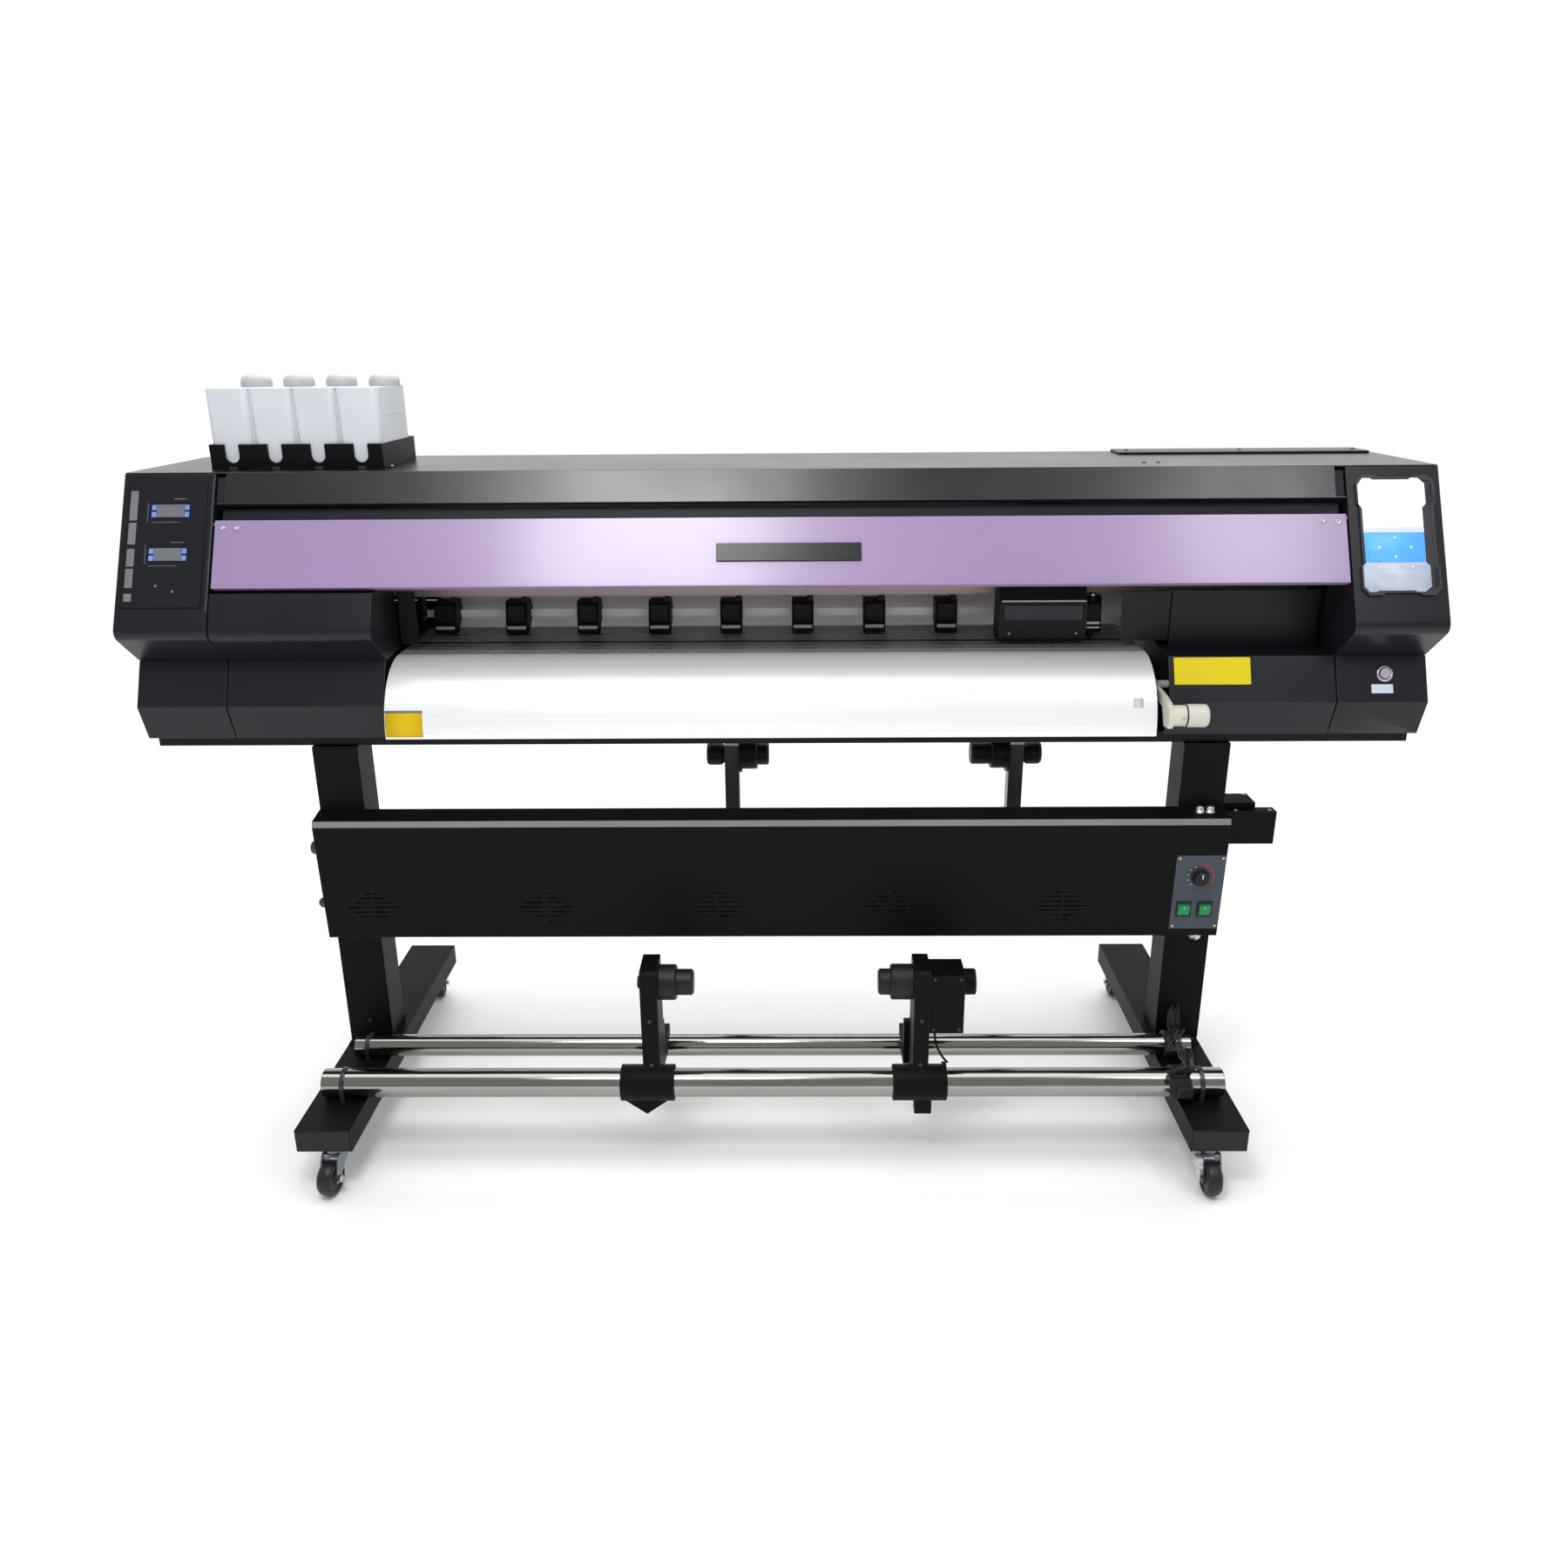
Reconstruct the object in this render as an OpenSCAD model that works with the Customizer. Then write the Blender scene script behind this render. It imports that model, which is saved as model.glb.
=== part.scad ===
// Wide-format roll-to-roll printer and cutter on a wheeled stand.
// Frame: X to the object's right, Y to the rear, Z up, floor at Z = 0, millimetres.

/* [Body] */
// Width across the two end towers
body_w = 2720; // [2700:5:2740]
// Width of each end tower
tower_w = 190; // [186:1:194]
// Height of the roof above the floor
roof_z = 1454; // [1450:1:1460]
// Height of the media surface above the floor
platen_z = 1065; // [1060:1:1068]
// Distance from the frame's centre to the rear panel
rear_y = 400; // [396:1:410]
// Thickness of the moulded covers
wall = 3; // [2.5:0.5:3.5]

/* [Media path] */
// Left end of the platens
platen_left = -830; // [-840:1:-820]
// Right end of the platens
platen_right = 791; // [786:1:800]
// Radius of the curved front platen
front_curve_r = 143; // [138:1:146]
// Radius of the driven grit roller
grit_r = 8; // [7:0.5:9]
// Radius of a pinch roller
pinch_r = 7.5; // [6.5:0.5:8]
// Number of pinch rollers
pinch_count = 10; // [6:1:10]
// Distance between neighbouring pinch rollers
pinch_pitch = 165.4; // [160:0.2:166]

/* [Carriage] */
// Parked position of the carriage's centre along the beam
carriage_x = 579; // [560:1:590]
// Width of the carriage cover
carriage_w = 192; // [180:1:196]

/* [Stand] */
// Sideways offset of the stand's centre from the body's centre
stand_x = -22; // [-30:1:0]
// Distance from the stand's centre to a foot's outer face
foot_outer = 995; // [985:1:1000]
// Width of a foot
foot_w = 117; // [110:1:120]
// Half length of a foot
foot_half = 429; // [425:1:435]
// Diameter of a caster wheel
wheel_d = 75; // [73:1:76]
// Radius of the front take-up rail
front_rail_r = 31; // [30:0.5:31.5]
// Radius of the rear take-up rail
rear_rail_r = 25; // [24:0.5:26]
// Radius of the supply rails
supply_rail_r = 20; // [18:0.5:21]

/* [Roll holders] */
// Radius of a hub's large step, for 76 mm cores
hub_big_r = 38; // [37:0.1:38]
// Radius of a hub's small step, for smaller cores
hub_small_r = 28; // [25:0.5:30]

/* [Ink] */
// Number of ink tanks
tank_count = 4; // [2:1:4]
// Distance between neighbouring tanks
tank_pitch = 91; // [89:0.5:91]
// Height of a tank's top above the floor
tank_top_z = 1618; // [1600:1:1630]

/* [Hidden] */
$fn = 48;

black = "#1d1d20";
dark = "#2b2c30";
steel = "#b9bcc0";
cream = "#e8e2d2";
running_gap = 0.06;
part_gap = 0.3;
sheet = 3;

// Stand: heights and stations
foot_bottom = 102;
foot_top = 153;
leg_w = 100;
leg_front = -60;
leg_rear = 30;
body_bottom = 878;
foot_x = foot_outer - foot_w / 2;
leg_x = foot_x + 10;
caster_x = foot_x - 10;
caster_y = 392;
caster_trail = 38;
left_caster_turn = 8;
strap_x = foot_x - 10;
strap_w = 9;
stem_r = 6;
axle_r = 4;
front_rail_y = -295;
front_rail_z = foot_top + front_rail_r;
rear_rail_y = -130;
rear_rail_z = foot_top + rear_rail_r;

// Roll holders
takeup_hub_y = -262;
takeup_hub_z = 411;
supply_hub_y = 270;
supply_hub_z = 752;
supply_rail_z = 520;
supply_rail_near = 205;
supply_rail_far = 325;
hub_shaft_r = 9;
takeup_left = [-296, -259];
takeup_left_mid = -288;
takeup_right = [283, 317];
takeup_right_mid = 300;
holder_tip_z = 113;

// Dryer
dryer_left = stand_x - 997;
dryer_len = 1994;
dryer_top = 733;
dryer_edge = [-113, 724];
dryer_bottom = 441;
dryer_front = -118;
dryer_lip = 711;
dryer_foot = -105;
dryer_sheet = 2;
dryer_tilt = atan((dryer_foot - dryer_front) / (dryer_lip - dryer_bottom));
vent_mid_x = -142;
vent_pitch = 383.5;
vent_z = 516;
knob_pos = [921, 588];
rocker_left_pos = [893, 509];
rocker_right_pos = [939, 509];
rocker_tilt = 8;

// Body section: front corners as [Y, Z]
half_w = body_w / 2;
tower_in = half_w - tower_w;
top_front = [16, roof_z];
nose = [-149, 1143];
nose_r = 22;
recess = [-62, 1072];
lower_bulge = [-105, 981];
lower_front = [-78, 904];
pan_front = -49;
slope_angle = atan((top_front[0] - nose[0]) / (top_front[1] - nose[1]));
button_face_angle = atan((recess[0] - lower_bulge[0]) / (recess[1] - lower_bulge[1]));

// Media path
grit_y = 212;
grit_z = platen_z - grit_r;
pinch_z = platen_z + pinch_r + part_gap;
first_pinch_x = -775;
pinch_shaft_y = 262;
pinch_shaft_z = 1105;
pinch_shaft_r = 5;
support_x = 842;
beam_front = 200;
beam_bottom = 1160;
beam_top = 1290;
beam_half = 1200;
lever_pivot = [-20, 1000];
right_cover_start = 821;
capping_posts = [920, 1080];

// Ink
tank_first_x = -1153;
tank_w = 88.6;
rack_left = -1200;
rack_right = -833;
rack_front = 66;
rack_rear = 302;
cap_y = 230;
neck_r = 26;
front_wall = 7;

// Arc points that round the corner p between the points a and b
function fillet(a, p, b, r) =
    let (u = (a - p) / norm(a - p), v = (b - p) / norm(b - p), half = acos(u * v) / 2)
    let (c = p + (u + v) / norm(u + v) * r / sin(half), t = r / tan(half))
    let (from = p + u * t - c, to = p + v * t - c)
    let (a0 = atan2(from[1], from[0]), turn = (atan2(to[1], to[0]) - a0 + 540) % 360 - 180)
    [for (i = [0 : 6]) c + r * [cos(a0 + turn * i / 6), sin(a0 + turn * i / 6)]];

// A slab along X from x0 to x1 with a [Y, Z] outline
module slab(x0, x1, outline) {
    translate([x0, 0, 0]) rotate([90, 0, 90]) linear_extrude(x1 - x0) polygon(outline);
}

// A round bar along X at [y, z]
module bar(x0, x1, y, z, r) {
    translate([x0, y, z]) rotate([0, 90, 0]) cylinder(r = r, h = x1 - x0);
}

// A box given by its two corners
module box(a, b) {
    translate(a) cube(b - a);
}

// Local frame on the sloping upper front: z runs up the slope, -y is outwards
module on_slope() {
    translate([0, top_front[0], top_front[1]]) rotate([-slope_angle, 0, 0]) children();
}

// Local frame on the dryer's front: z runs up the face from its lip, -y is outwards
module on_dryer() {
    translate([0, dryer_front, dryer_lip]) rotate([dryer_tilt, 0, 0]) children();
}

// Local frame on the right lower cover's upper face, at the power button
module on_button_face() {
    button_z = 1035;
    button_y = recess[0] - (recess[1] - button_z) * tan(button_face_angle);
    translate([1271, button_y, button_z]) rotate([-button_face_angle, 0, 0]) children();
}

// ---- Stand ----

module foot(side) {
    end_block = 75;
    color(black) translate([stand_x + side * foot_x, 0, 0]) difference() {
        box([-foot_w / 2, -foot_half, foot_bottom], [foot_w / 2, foot_half, foot_top]);
        box([-foot_w / 2 + 4, -foot_half + end_block, foot_bottom - 1],
            [foot_w / 2 - 4, foot_half - end_block, foot_top - 4]);
        for (y = [-caster_y, caster_y])
            translate([side * (caster_x - foot_x), y, foot_bottom - 1])
                cylinder(r = stem_r + running_gap, h = 36);
    }
}

module leg(side) {
    color(black) translate([stand_x + side * leg_x, 0, 0]) difference() {
        box([-leg_w / 2, leg_front, foot_top], [leg_w / 2, leg_rear, body_bottom]);
        box([-leg_w / 2 + sheet, leg_front + sheet, foot_top - 1],
            [leg_w / 2 - sheet, leg_rear - sheet, body_bottom + 1]);
    }
}

module stand_crossbeam() {
    half = leg_x - leg_w / 2;
    front = -35;
    rear = 25;
    low = 560;
    high = 640;
    color(black) translate([stand_x, 0, 0]) difference() {
        box([-half, front, low], [half, rear, high]);
        box([-half - 1, front + sheet, low + sheet], [half + 1, rear - sheet, high - sheet]);
    }
}

module rail_strap(side, y, z, r) {
    strap_t = 3;
    translate([stand_x + side * strap_x, y, z]) {
        difference() {
            rotate([0, 90, 0]) cylinder(r = r + strap_t, h = strap_w, center = true);
            rotate([0, 90, 0]) cylinder(r = r, h = strap_w + 2, center = true);
            box([-strap_w, -r - 5, -r - 5], [strap_w, r + 5, 0]);
        }
        for (s = [-1, 1])
            box([-strap_w / 2, s * (r + strap_t / 2) - strap_t / 2, -r],
                [strap_w / 2, s * (r + strap_t / 2) + strap_t / 2, 0]);
    }
}

module hex_head(r, h) {
    cylinder(r = r, h = h, $fn = 6);
}

// Knob that holds the dryer's end plate, at [y, z]
module end_knob(y, z, r) {
    translate([dryer_left, y, z]) rotate([0, -90, 0]) rotate_extrude()
        polygon([[0, 0], [r, 0], [r, 7], [r - 2, 11], [r / 2, 14], [0, 14]]);
}

module stand_fasteners() {
    color(steel) {
        for (side = [-1, 1]) {
            rail_strap(side, front_rail_y, front_rail_z, front_rail_r);
            rail_strap(side, rear_rail_y, rear_rail_z, rear_rail_r);
            translate([stand_x + side * leg_x, leg_front, 204]) rotate([90, 0, 0]) cylinder(r = 4, h = 2);
            for (z = [580, 605])
                translate([stand_x + side * (leg_x + leg_w / 2), 0, z]) rotate([0, side * 90,
                    0]) hex_head(8, 6);
        }
        end_knob(-100, 658, 15);
        end_knob(-97, 524, 11.5);
    }
}

// Fork on its stem; turn swivels it about the stem from straight outwards
module caster_fork(side, end, turn) {
    cheek_in = 16.5;
    cheek_out = 19.5;
    axle_z = wheel_d / 2;
    plate_low = 81;
    plate_high = 87;
    color("#8f99a3") translate([stand_x + side * caster_x, end * caster_y, 0]) rotate([0, 0,
        turn]) flip_y(end) {
        translate([0, 0, plate_high - 1]) cylinder(r = 26, h = foot_bottom - part_gap - plate_high + 1);
        translate([0, 0, plate_high - 1]) cylinder(r = stem_r, h = 46);
        box([-cheek_out, -24, plate_low], [cheek_out, 28, plate_high]);
        for (s = [-1, 1])
            slab(s > 0 ? cheek_in : -cheek_out, s > 0 ? cheek_out : -cheek_in,
                [[-24, plate_high], [28, plate_high], [36, 72], [caster_trail + 12, axle_z + 3],
                 [caster_trail + 9, axle_z - 9], [caster_trail - 9, axle_z - 9], [caster_trail - 16,
                     axle_z + 6],
                 [-18, 74], [-24, 80]]);
        bar(-23, 23, caster_trail, axle_z, axle_r);
    }
}

// Mirrors its children front to back for the front end
module flip_y(end) {
    mirror([0, end < 0 ? 1 : 0, 0]) children();
}

module caster_wheel(side, end, turn) {
    r = wheel_d / 2;
    half = 16;
    color("#3a3b3e") translate([stand_x + side * caster_x, end * caster_y, r])
        rotate([0, 0, turn])
        translate([0, end * caster_trail, 0]) rotate([0, 90, 0])
        rotate_extrude($fn = 64)
            polygon([[axle_r + running_gap, -half], [12, -half], [14, -half + 3], [r - 12, -half + 3],
                     [r - 10, -half], [r - 5, -half + 1], [r - 1.8, -half + 5], [r, -half + 11], [r,
                         half - 11], [r - 1.8, half - 5],
                     [r - 5, half - 1], [r - 10, half], [r - 12, half - 3], [14, half - 3], [12, half],
                     [axle_r + running_gap, half]]);
}

// ---- Take-up ----

module tube(x0, x1, y, z, r, t) {
    difference() {
        bar(x0, x1, y, z, r);
        bar(x0 - 1, x1 + 1, y, z, r - t);
    }
}

module takeup_rails() {
    color(steel) {
        tube(-992, 951, front_rail_y, front_rail_z, front_rail_r, 2.5);
        tube(-977, 930, rear_rail_y, rear_rail_z, rear_rail_r, 2.5);
    }
}

// Column on a collar round the front rail, with a saddle on the rear rail; the collar's middle is at mid
module takeup_arm(x0, x1, mid) {
    collar_half = 57;
    front = -310;
    back = -220;
    top = 456;
    round_r = 14;
    difference() {
        union() {
            slab(x0, x1, concat([[back, front_rail_z], [front, front_rail_z]],
                [for (a = [180 : -15 : 90])
                    [front + round_r + round_r * cos(a), top - round_r + round_r * sin(a)]],
                [[back, top]]));
            bar(mid - collar_half, mid + collar_half, front_rail_y, front_rail_z, front_rail_r + 8);
            slab(x0 - 12, x1, [[back - 1, 184], [back - 1, 290], [-204, 290], [-190, 216], [-99, 216],
                [-99, 176],
                [-168, 176]]);
        }
        bar(mid - collar_half - 1, mid + collar_half + 1, front_rail_y, front_rail_z,
            front_rail_r + running_gap);
        bar(x0 - 13, x1 + 1, rear_rail_y, rear_rail_z, rear_rail_r + running_gap);
        bar(x0 - 1, x1 + 1, takeup_hub_y, takeup_hub_z, hub_shaft_r + running_gap);
    }
}

module takeup_left_arm() {
    color(black) union() {
        takeup_arm(takeup_left[0], takeup_left[1], takeup_left_mid);
        translate([takeup_left_mid - 4, front_rail_y + 14, front_rail_z]) rotate([90, 0,
            0]) linear_extrude(28)
            polygon([[-52, -35], [-44, -39], [0, holder_tip_z - front_rail_z], [44, -39], [52, -35], [38,
                -33.5],
                     [-38, -33.5]]);
    }
}

module takeup_right_arm() {
    color(black) union() {
        takeup_arm(takeup_right[0], takeup_right[1], takeup_right_mid);
        box([290, front_rail_y - 14, holder_tip_z], [327, front_rail_y + 14, front_rail_z - 33.5]);
        box([348, front_rail_y - 9, front_rail_z + 36], [357, front_rail_y + 9, front_rail_z + 46]);
    }
}

// Stepped core hub on a shaft through an arm; x is the arm's face, dir the way it points
module core_hub(x, dir, y, z, big_len, small_len, shaft_len, flange_r) {
    translate([x, y, z]) rotate([0, dir * 90, 0]) {
        translate([0, 0, 1]) rotate_extrude($fn = 64)
            polygon([[0, 0], [flange_r, 0], [flange_r, 6], [hub_big_r, 6], [hub_big_r, big_len - 3],
                     [hub_big_r - 3, big_len], [hub_small_r, big_len], [hub_small_r, big_len + small_len - 4],
                     [hub_small_r - 4, big_len + small_len], [0, big_len + small_len]]);
        translate([0, 0, -shaft_len]) cylinder(r = hub_shaft_r, h = shaft_len + 1);
    }
}

module takeup_left_hub() {
    color(dark) {
        core_hub(takeup_left[1], 1, takeup_hub_y, takeup_hub_z, 37, 36, takeup_left[1] - takeup_left[0],
            hub_big_r);
        translate([takeup_left[0] - 9, takeup_hub_y, takeup_hub_z]) rotate([0, 90, 0]) cylinder(r = 13,
            h = 8);
        bar(takeup_left[0] - 2, takeup_left[0] + 1, takeup_hub_y, takeup_hub_z, hub_shaft_r);
    }
}

module takeup_right_hub() {
    color(dark) core_hub(takeup_right[0], -1, takeup_hub_y, takeup_hub_z, 47, 26, 33.5, hub_big_r);
}

module takeup_motor() {
    lead_r = 2.5;
    bend_r = 110;
    bend = 43;
    motor_left = takeup_right[1];
    motor_right = 390;
    motor_front = -302;
    motor_rear = -222;
    motor_bottom = 308;
    color(black) {
        difference() {
            box([motor_left, motor_front, motor_bottom], [motor_right, motor_rear, 444]);
            box([motor_left + 3, motor_front + 5, motor_bottom + 5], [motor_right - 3, motor_rear + 1, 375]);
        }
        bar(motor_right, motor_right + 23, takeup_hub_y, takeup_hub_z, 28);
        translate([motor_left + 19, motor_front, 389]) rotate([90, 0, 0]) cylinder(r = 5, h = 2);
    }
    color("#111113") translate([330 + bend_r, front_rail_y, motor_bottom]) rotate([90, 0, 0]) rotate([0, 0,
        180])
        rotate_extrude(angle = bend, $fn = 96) translate([bend_r, 0]) circle(r = lead_r, $fn = 24);
}

// ---- Media supply ----

module supply_rail_frame() {
    half = leg_x;
    color(steel) translate([stand_x, 0, 0]) {
        for (y = [supply_rail_near, supply_rail_far])
            bar(-half, half, y, supply_rail_z, supply_rail_r);
        for (side = [-1, 1])
            box([side * half - 20, leg_rear, supply_rail_z - 25], [side * half + 20, 350,
                supply_rail_z + 25]);
    }
}

// Post on a saddle block that slides along both supply rails
module supply_arm(x0, x1) {
    difference() {
        union() {
            box([x0, 250, supply_rail_z], [x1, 290, supply_hub_z + 26]);
            box([x0 - 12, 172, supply_rail_z - 28], [x1 + 12, 350, supply_rail_z + 28]);
            slab(x0, x1, [[200, supply_rail_z + 27], [251, supply_rail_z + 100], [251, supply_rail_z + 27]]);
        }
        for (y = [supply_rail_near, supply_rail_far])
            bar(x0 - 13, x1 + 13, y, supply_rail_z, supply_rail_r + running_gap);
        bar(x0 - 1, x1 + 1, supply_hub_y, supply_hub_z, hub_shaft_r + running_gap);
    }
}

// Hub with a grip knob on the other side of its arm
module supply_hub(x, dir, arm_w, big_len, small_len) {
    core_hub(x, dir, supply_hub_y, supply_hub_z, big_len, small_len, arm_w + 4, 46);
    translate([x - dir * (arm_w + 1), supply_hub_y, supply_hub_z]) rotate([0, -dir * 90, 0])
        rotate_extrude() polygon([[0, 0], [22, 0], [28, 8], [28, 36], [24, 42], [0, 42]]);
}

// ---- Dryer ----

module dryer_housing() {
    right = dryer_left + dryer_len;
    s = dryer_sheet;
    color(black) difference() {
        slab(dryer_left, right, [[leg_front, dryer_top], dryer_edge, [dryer_front, dryer_lip],
            [dryer_foot, dryer_bottom], [leg_front, dryer_bottom]]);
        slab(dryer_left + s, right - s, [[leg_front + 1, dryer_top - s], dryer_edge + [1, -s],
            [dryer_front + s, dryer_lip - 1], [dryer_foot + s, dryer_bottom + s], [leg_front + 1,
                dryer_bottom + s]]);
        for (i = [-2 : 2]) on_dryer() translate([vent_mid_x + i * vent_pitch, 0,
            vent_z - dryer_lip]) vent_slots();
        on_dryer() switch_holes(1);
    }
}

// Rows of slots that together make a diamond
module vent_slots() {
    rows = 3;
    row_pitch = 11.5;
    for (r = [-rows : rows]) {
        length = 116 * (1 - abs(r) / (rows + 1));
        for (s = [-1, 1]) translate([s * (length / 4 + 2), 0, r * row_pitch])
            cube([length / 2 - 3, 12, 4.5], center = true);
    }
}

// Openings for the knob's shaft and the two rockers
module switch_holes(extra) {
    translate([knob_pos[0], -6, knob_pos[1] - dryer_lip]) rotate([-90, 0, 0]) cylinder(r = 3.06 + extra,
        h = 14);
    for (p = [rocker_left_pos, rocker_right_pos])
        translate([p[0], 0, p[1] - dryer_lip]) cube([26 + 2 * extra, 20, 29 + 2 * extra], center = true);
}

module dryer_switch_plate() {
    color("#565b62") on_dryer() difference() {
        box([866, -2, 459 - dryer_lip], [974, 0, 639 - dryer_lip]);
        switch_holes(0);
    }
}

module dryer_knob() {
    color(dark) on_dryer() translate([knob_pos[0], -2 - part_gap, knob_pos[1] - dryer_lip]) rotate([90, 0,
        0]) {
        difference() {
            rotate_extrude() polygon([[0, 0], [20, 0], [20, 2], [17.5, 4], [16, 16], [14, 18], [0, 18]]);
            translate([0, 9, 17]) cube([2, 14, 3], center = true);
        }
        translate([0, 0, -14]) cylinder(r = 3, h = 15);
    }
}

module rocker(p) {
    color("#1f9a4c") on_dryer() translate([p[0], -3, p[1] - dryer_lip]) rotate([rocker_tilt, 0, 0])
        cube([24, 12, 25], center = true);
}

module junction_box() {
    x0 = stand_x + leg_x + leg_w / 2;
    bottom = 637;
    split_y = -15;
    color(black) {
        box([x0, split_y, bottom], [1061, 48, 724]);
        box([x0, -45, bottom], [1099, split_y, 714]);
    }
}

// ---- Body chassis ----

module base_frame() {
    beam_low = 60;
    beam_high = 200;
    beam_roof = 1006;
    pan_t = 5;
    pan_rear = 330;
    wall_rear = 300;
    side = half_w - 5;
    end_outer = beam_half + 8;
    color(dark) difference() {
        union() {
            box([-side, pan_front, body_bottom], [side, pan_rear, body_bottom + pan_t]);
            box([-side, pan_front, body_bottom], [side, pan_front + 4, 902]);
            box([-beam_half, beam_low, body_bottom + 4], [beam_half, beam_high, beam_roof]);
            for (s = [-1, 1]) {
                box([min(s * beam_half, s * end_outer), 20, body_bottom + 4],
                    [max(s * beam_half, s * end_outer), wall_rear, 1330]);
                box([min(s * (support_x - 4), s * (support_x + 4)), -40, body_bottom + 4],
                    [max(s * (support_x - 4), s * (support_x + 4)), wall_rear, platen_z - 1]);
                box([min(s * support_x, s * side), rear_y - 4, body_bottom],
                    [max(s * support_x, s * side), rear_y, 1109]);
                box([min(s * support_x, s * side), pan_rear - 1, body_bottom],
                    [max(s * support_x, s * side), rear_y - 3, body_bottom + pan_t]);
            }
            for (x = [-560 : 280 : 560])
                box([x - 4, 30, beam_roof - 1], [x + 4, 290, platen_z - 18]);
            box([-support_x, pan_rear - 8, body_bottom], [support_x, pan_rear, 925]);
        }
        box([-beam_half + 4, beam_low + 4, body_bottom + 9], [beam_half - 4, beam_high - 4, beam_roof - 4]);
        bar(-support_x - 5, support_x + 5, grit_y, grit_z, 6 + running_gap);
        bar(support_x - 5, support_x + 5, lever_pivot[0], lever_pivot[1], 8 + running_gap);
        for (x = capping_posts)
            translate([x, 135, beam_roof - 6]) cylinder(r = 5 + running_gap, h = 8);
    }
}

module gantry_beam() {
    color("#c3b6ab") difference() {
        union() {
            box([-beam_half, beam_front, beam_bottom], [beam_half, beam_front + 90, beam_top]);
            box([-beam_half, beam_front - 10, 1215], [beam_half, beam_front + 1, 1235]);
            box([-support_x - 4, 228, beam_bottom - 10], [support_x + 4, 288, beam_bottom + 1]);
            for (s = [-1, 1])
                box([s * support_x - 4, 245, 1090], [s * support_x + 4, 280, beam_bottom + 1]);
        }
        box([-beam_half - 1, beam_front + 5, beam_bottom + 5], [beam_half + 1, beam_front + 85,
            beam_top - 5]);
        bar(-support_x - 5, support_x + 5, pinch_shaft_y, pinch_shaft_z, pinch_shaft_r + running_gap);
    }
}

module carriage_base() {
    half = carriage_w / 2 - 8;
    color("#7f8388") translate([carriage_x, 0, 0]) difference() {
        union() {
            box([-half, 152, 1085], [half, 197, 1250]);
            box([-half + 6, 90, 1078], [half - 6, 153, 1096]);
        }
        box([-half - 1, beam_front - 10 - part_gap, 1215 - part_gap], [half + 1, 198, 1235 + part_gap]);
    }
}

module carriage_cover() {
    half = carriage_w / 2;
    outer = [[78, 1072], [70, 1082], [70, 1118], [74, 1160], [100, 1205], [150, 1205], [150, 1072]];
    inner = [[81, 1071], [74, 1086], [74, 1117], [78, 1158], [102, 1201], [151, 1201], [151, 1071]];
    color(black) translate([carriage_x, 0, 0]) difference() {
        slab(-half, half, outer);
        slab(-half + wall, half - wall, inner);
    }
}

module cutter_holder() {
    x0 = carriage_x + carriage_w / 2;
    color(dark) {
        box([x0 + part_gap, 100, 1095], [x0 + 38, 148, 1150]);
        translate([x0 + 20, 122, 1074]) cylinder(r = 9, h = 22);
        translate([x0 + 20, 122, 1150]) cylinder(r = 11, h = 16);
        translate([x0 + 20, 122, 1068]) cylinder(r1 = 1.5, r2 = 4, h = 6.5);
    }
}

module carriage_motor() {
    shaft_x = 1242;
    shaft_y = 150;
    body_half = 28;
    plate_z = 1211;
    plate_t = 5;
    color(dark) {
        box([beam_half + 8, shaft_y - 30, plate_z - plate_t], [1275, shaft_y + 40, plate_z]);
        box([shaft_x - body_half, shaft_y - body_half, 1140],
            [shaft_x + body_half, shaft_y + body_half, plate_z - plate_t]);
        translate([shaft_x, shaft_y, plate_z]) cylinder(r = 19, h = 3);
        translate([shaft_x, shaft_y, plate_z + 3]) cylinder(r = 13, h = 16);
        translate([shaft_x, shaft_y, plate_z + 19]) cylinder(r = 16, h = 2);
    }
}

// ---- Platens and rollers ----

module print_platen() {
    t = 10;
    bend_y = 285;
    bend_r = 60;
    under = platen_z - t;
    rear = bend_y + bend_r;
    color("#4a4e52") difference() {
        slab(platen_left, platen_right, concat([[12, platen_z]],
            [for (a = [90 : -10 : 0]) [bend_y + bend_r * cos(a), platen_z - bend_r + bend_r * sin(a)]],
            [[rear, 930], [rear - t, 930]],
            [for (a = [0 : 10 : 90]) [bend_y + (bend_r - t) * cos(a),
                platen_z - bend_r + (bend_r - t) * sin(a)]],
            [[12, under]]));
        box([platen_left - 1, grit_y - grit_r - 1.5, under - 1], [platen_right + 1, grit_y + grit_r + 1.5,
            platen_z + 1]);
    }
    color("#4a4e52") difference() {
        for (x = [platen_left, platen_right - 12])
            box([x, grit_y - grit_r - 6, under - 26], [x + 12, grit_y + grit_r + 6, under]);
        bar(platen_left - 1, platen_right + 1, grit_y, grit_z, grit_r + 1);
    }
}

module front_platen() {
    centre = [12, platen_z - front_curve_r];
    t = 5;
    skirt = 4;
    return_depth = 45;
    color("#d9dde0") difference() {
        union() {
            intersection() {
                difference() {
                    bar(platen_left, platen_right, centre[0], centre[1], front_curve_r);
                    bar(platen_left - 1, platen_right + 1, centre[0], centre[1], front_curve_r - t);
                }
                box([platen_left - 1, centre[0] - front_curve_r - 1, centre[1]],
                    [platen_right + 1, centre[0] - part_gap, platen_z + 1]);
            }
            box([platen_left, centre[0] - front_curve_r, centre[1] - skirt],
                [platen_right, centre[0] - front_curve_r + t, centre[1] + 1]);
            box([platen_left, centre[0] - front_curve_r, centre[1] - skirt - 2],
                [platen_right, centre[0] - front_curve_r + return_depth, centre[1] - skirt + 1]);
        }
        for (a = [3 : 6 : 33])
            bar(platen_left - 1, platen_right + 1, centre[0] - front_curve_r * cos(a),
                centre[1] + front_curve_r * sin(a), 1);
    }
}

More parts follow.
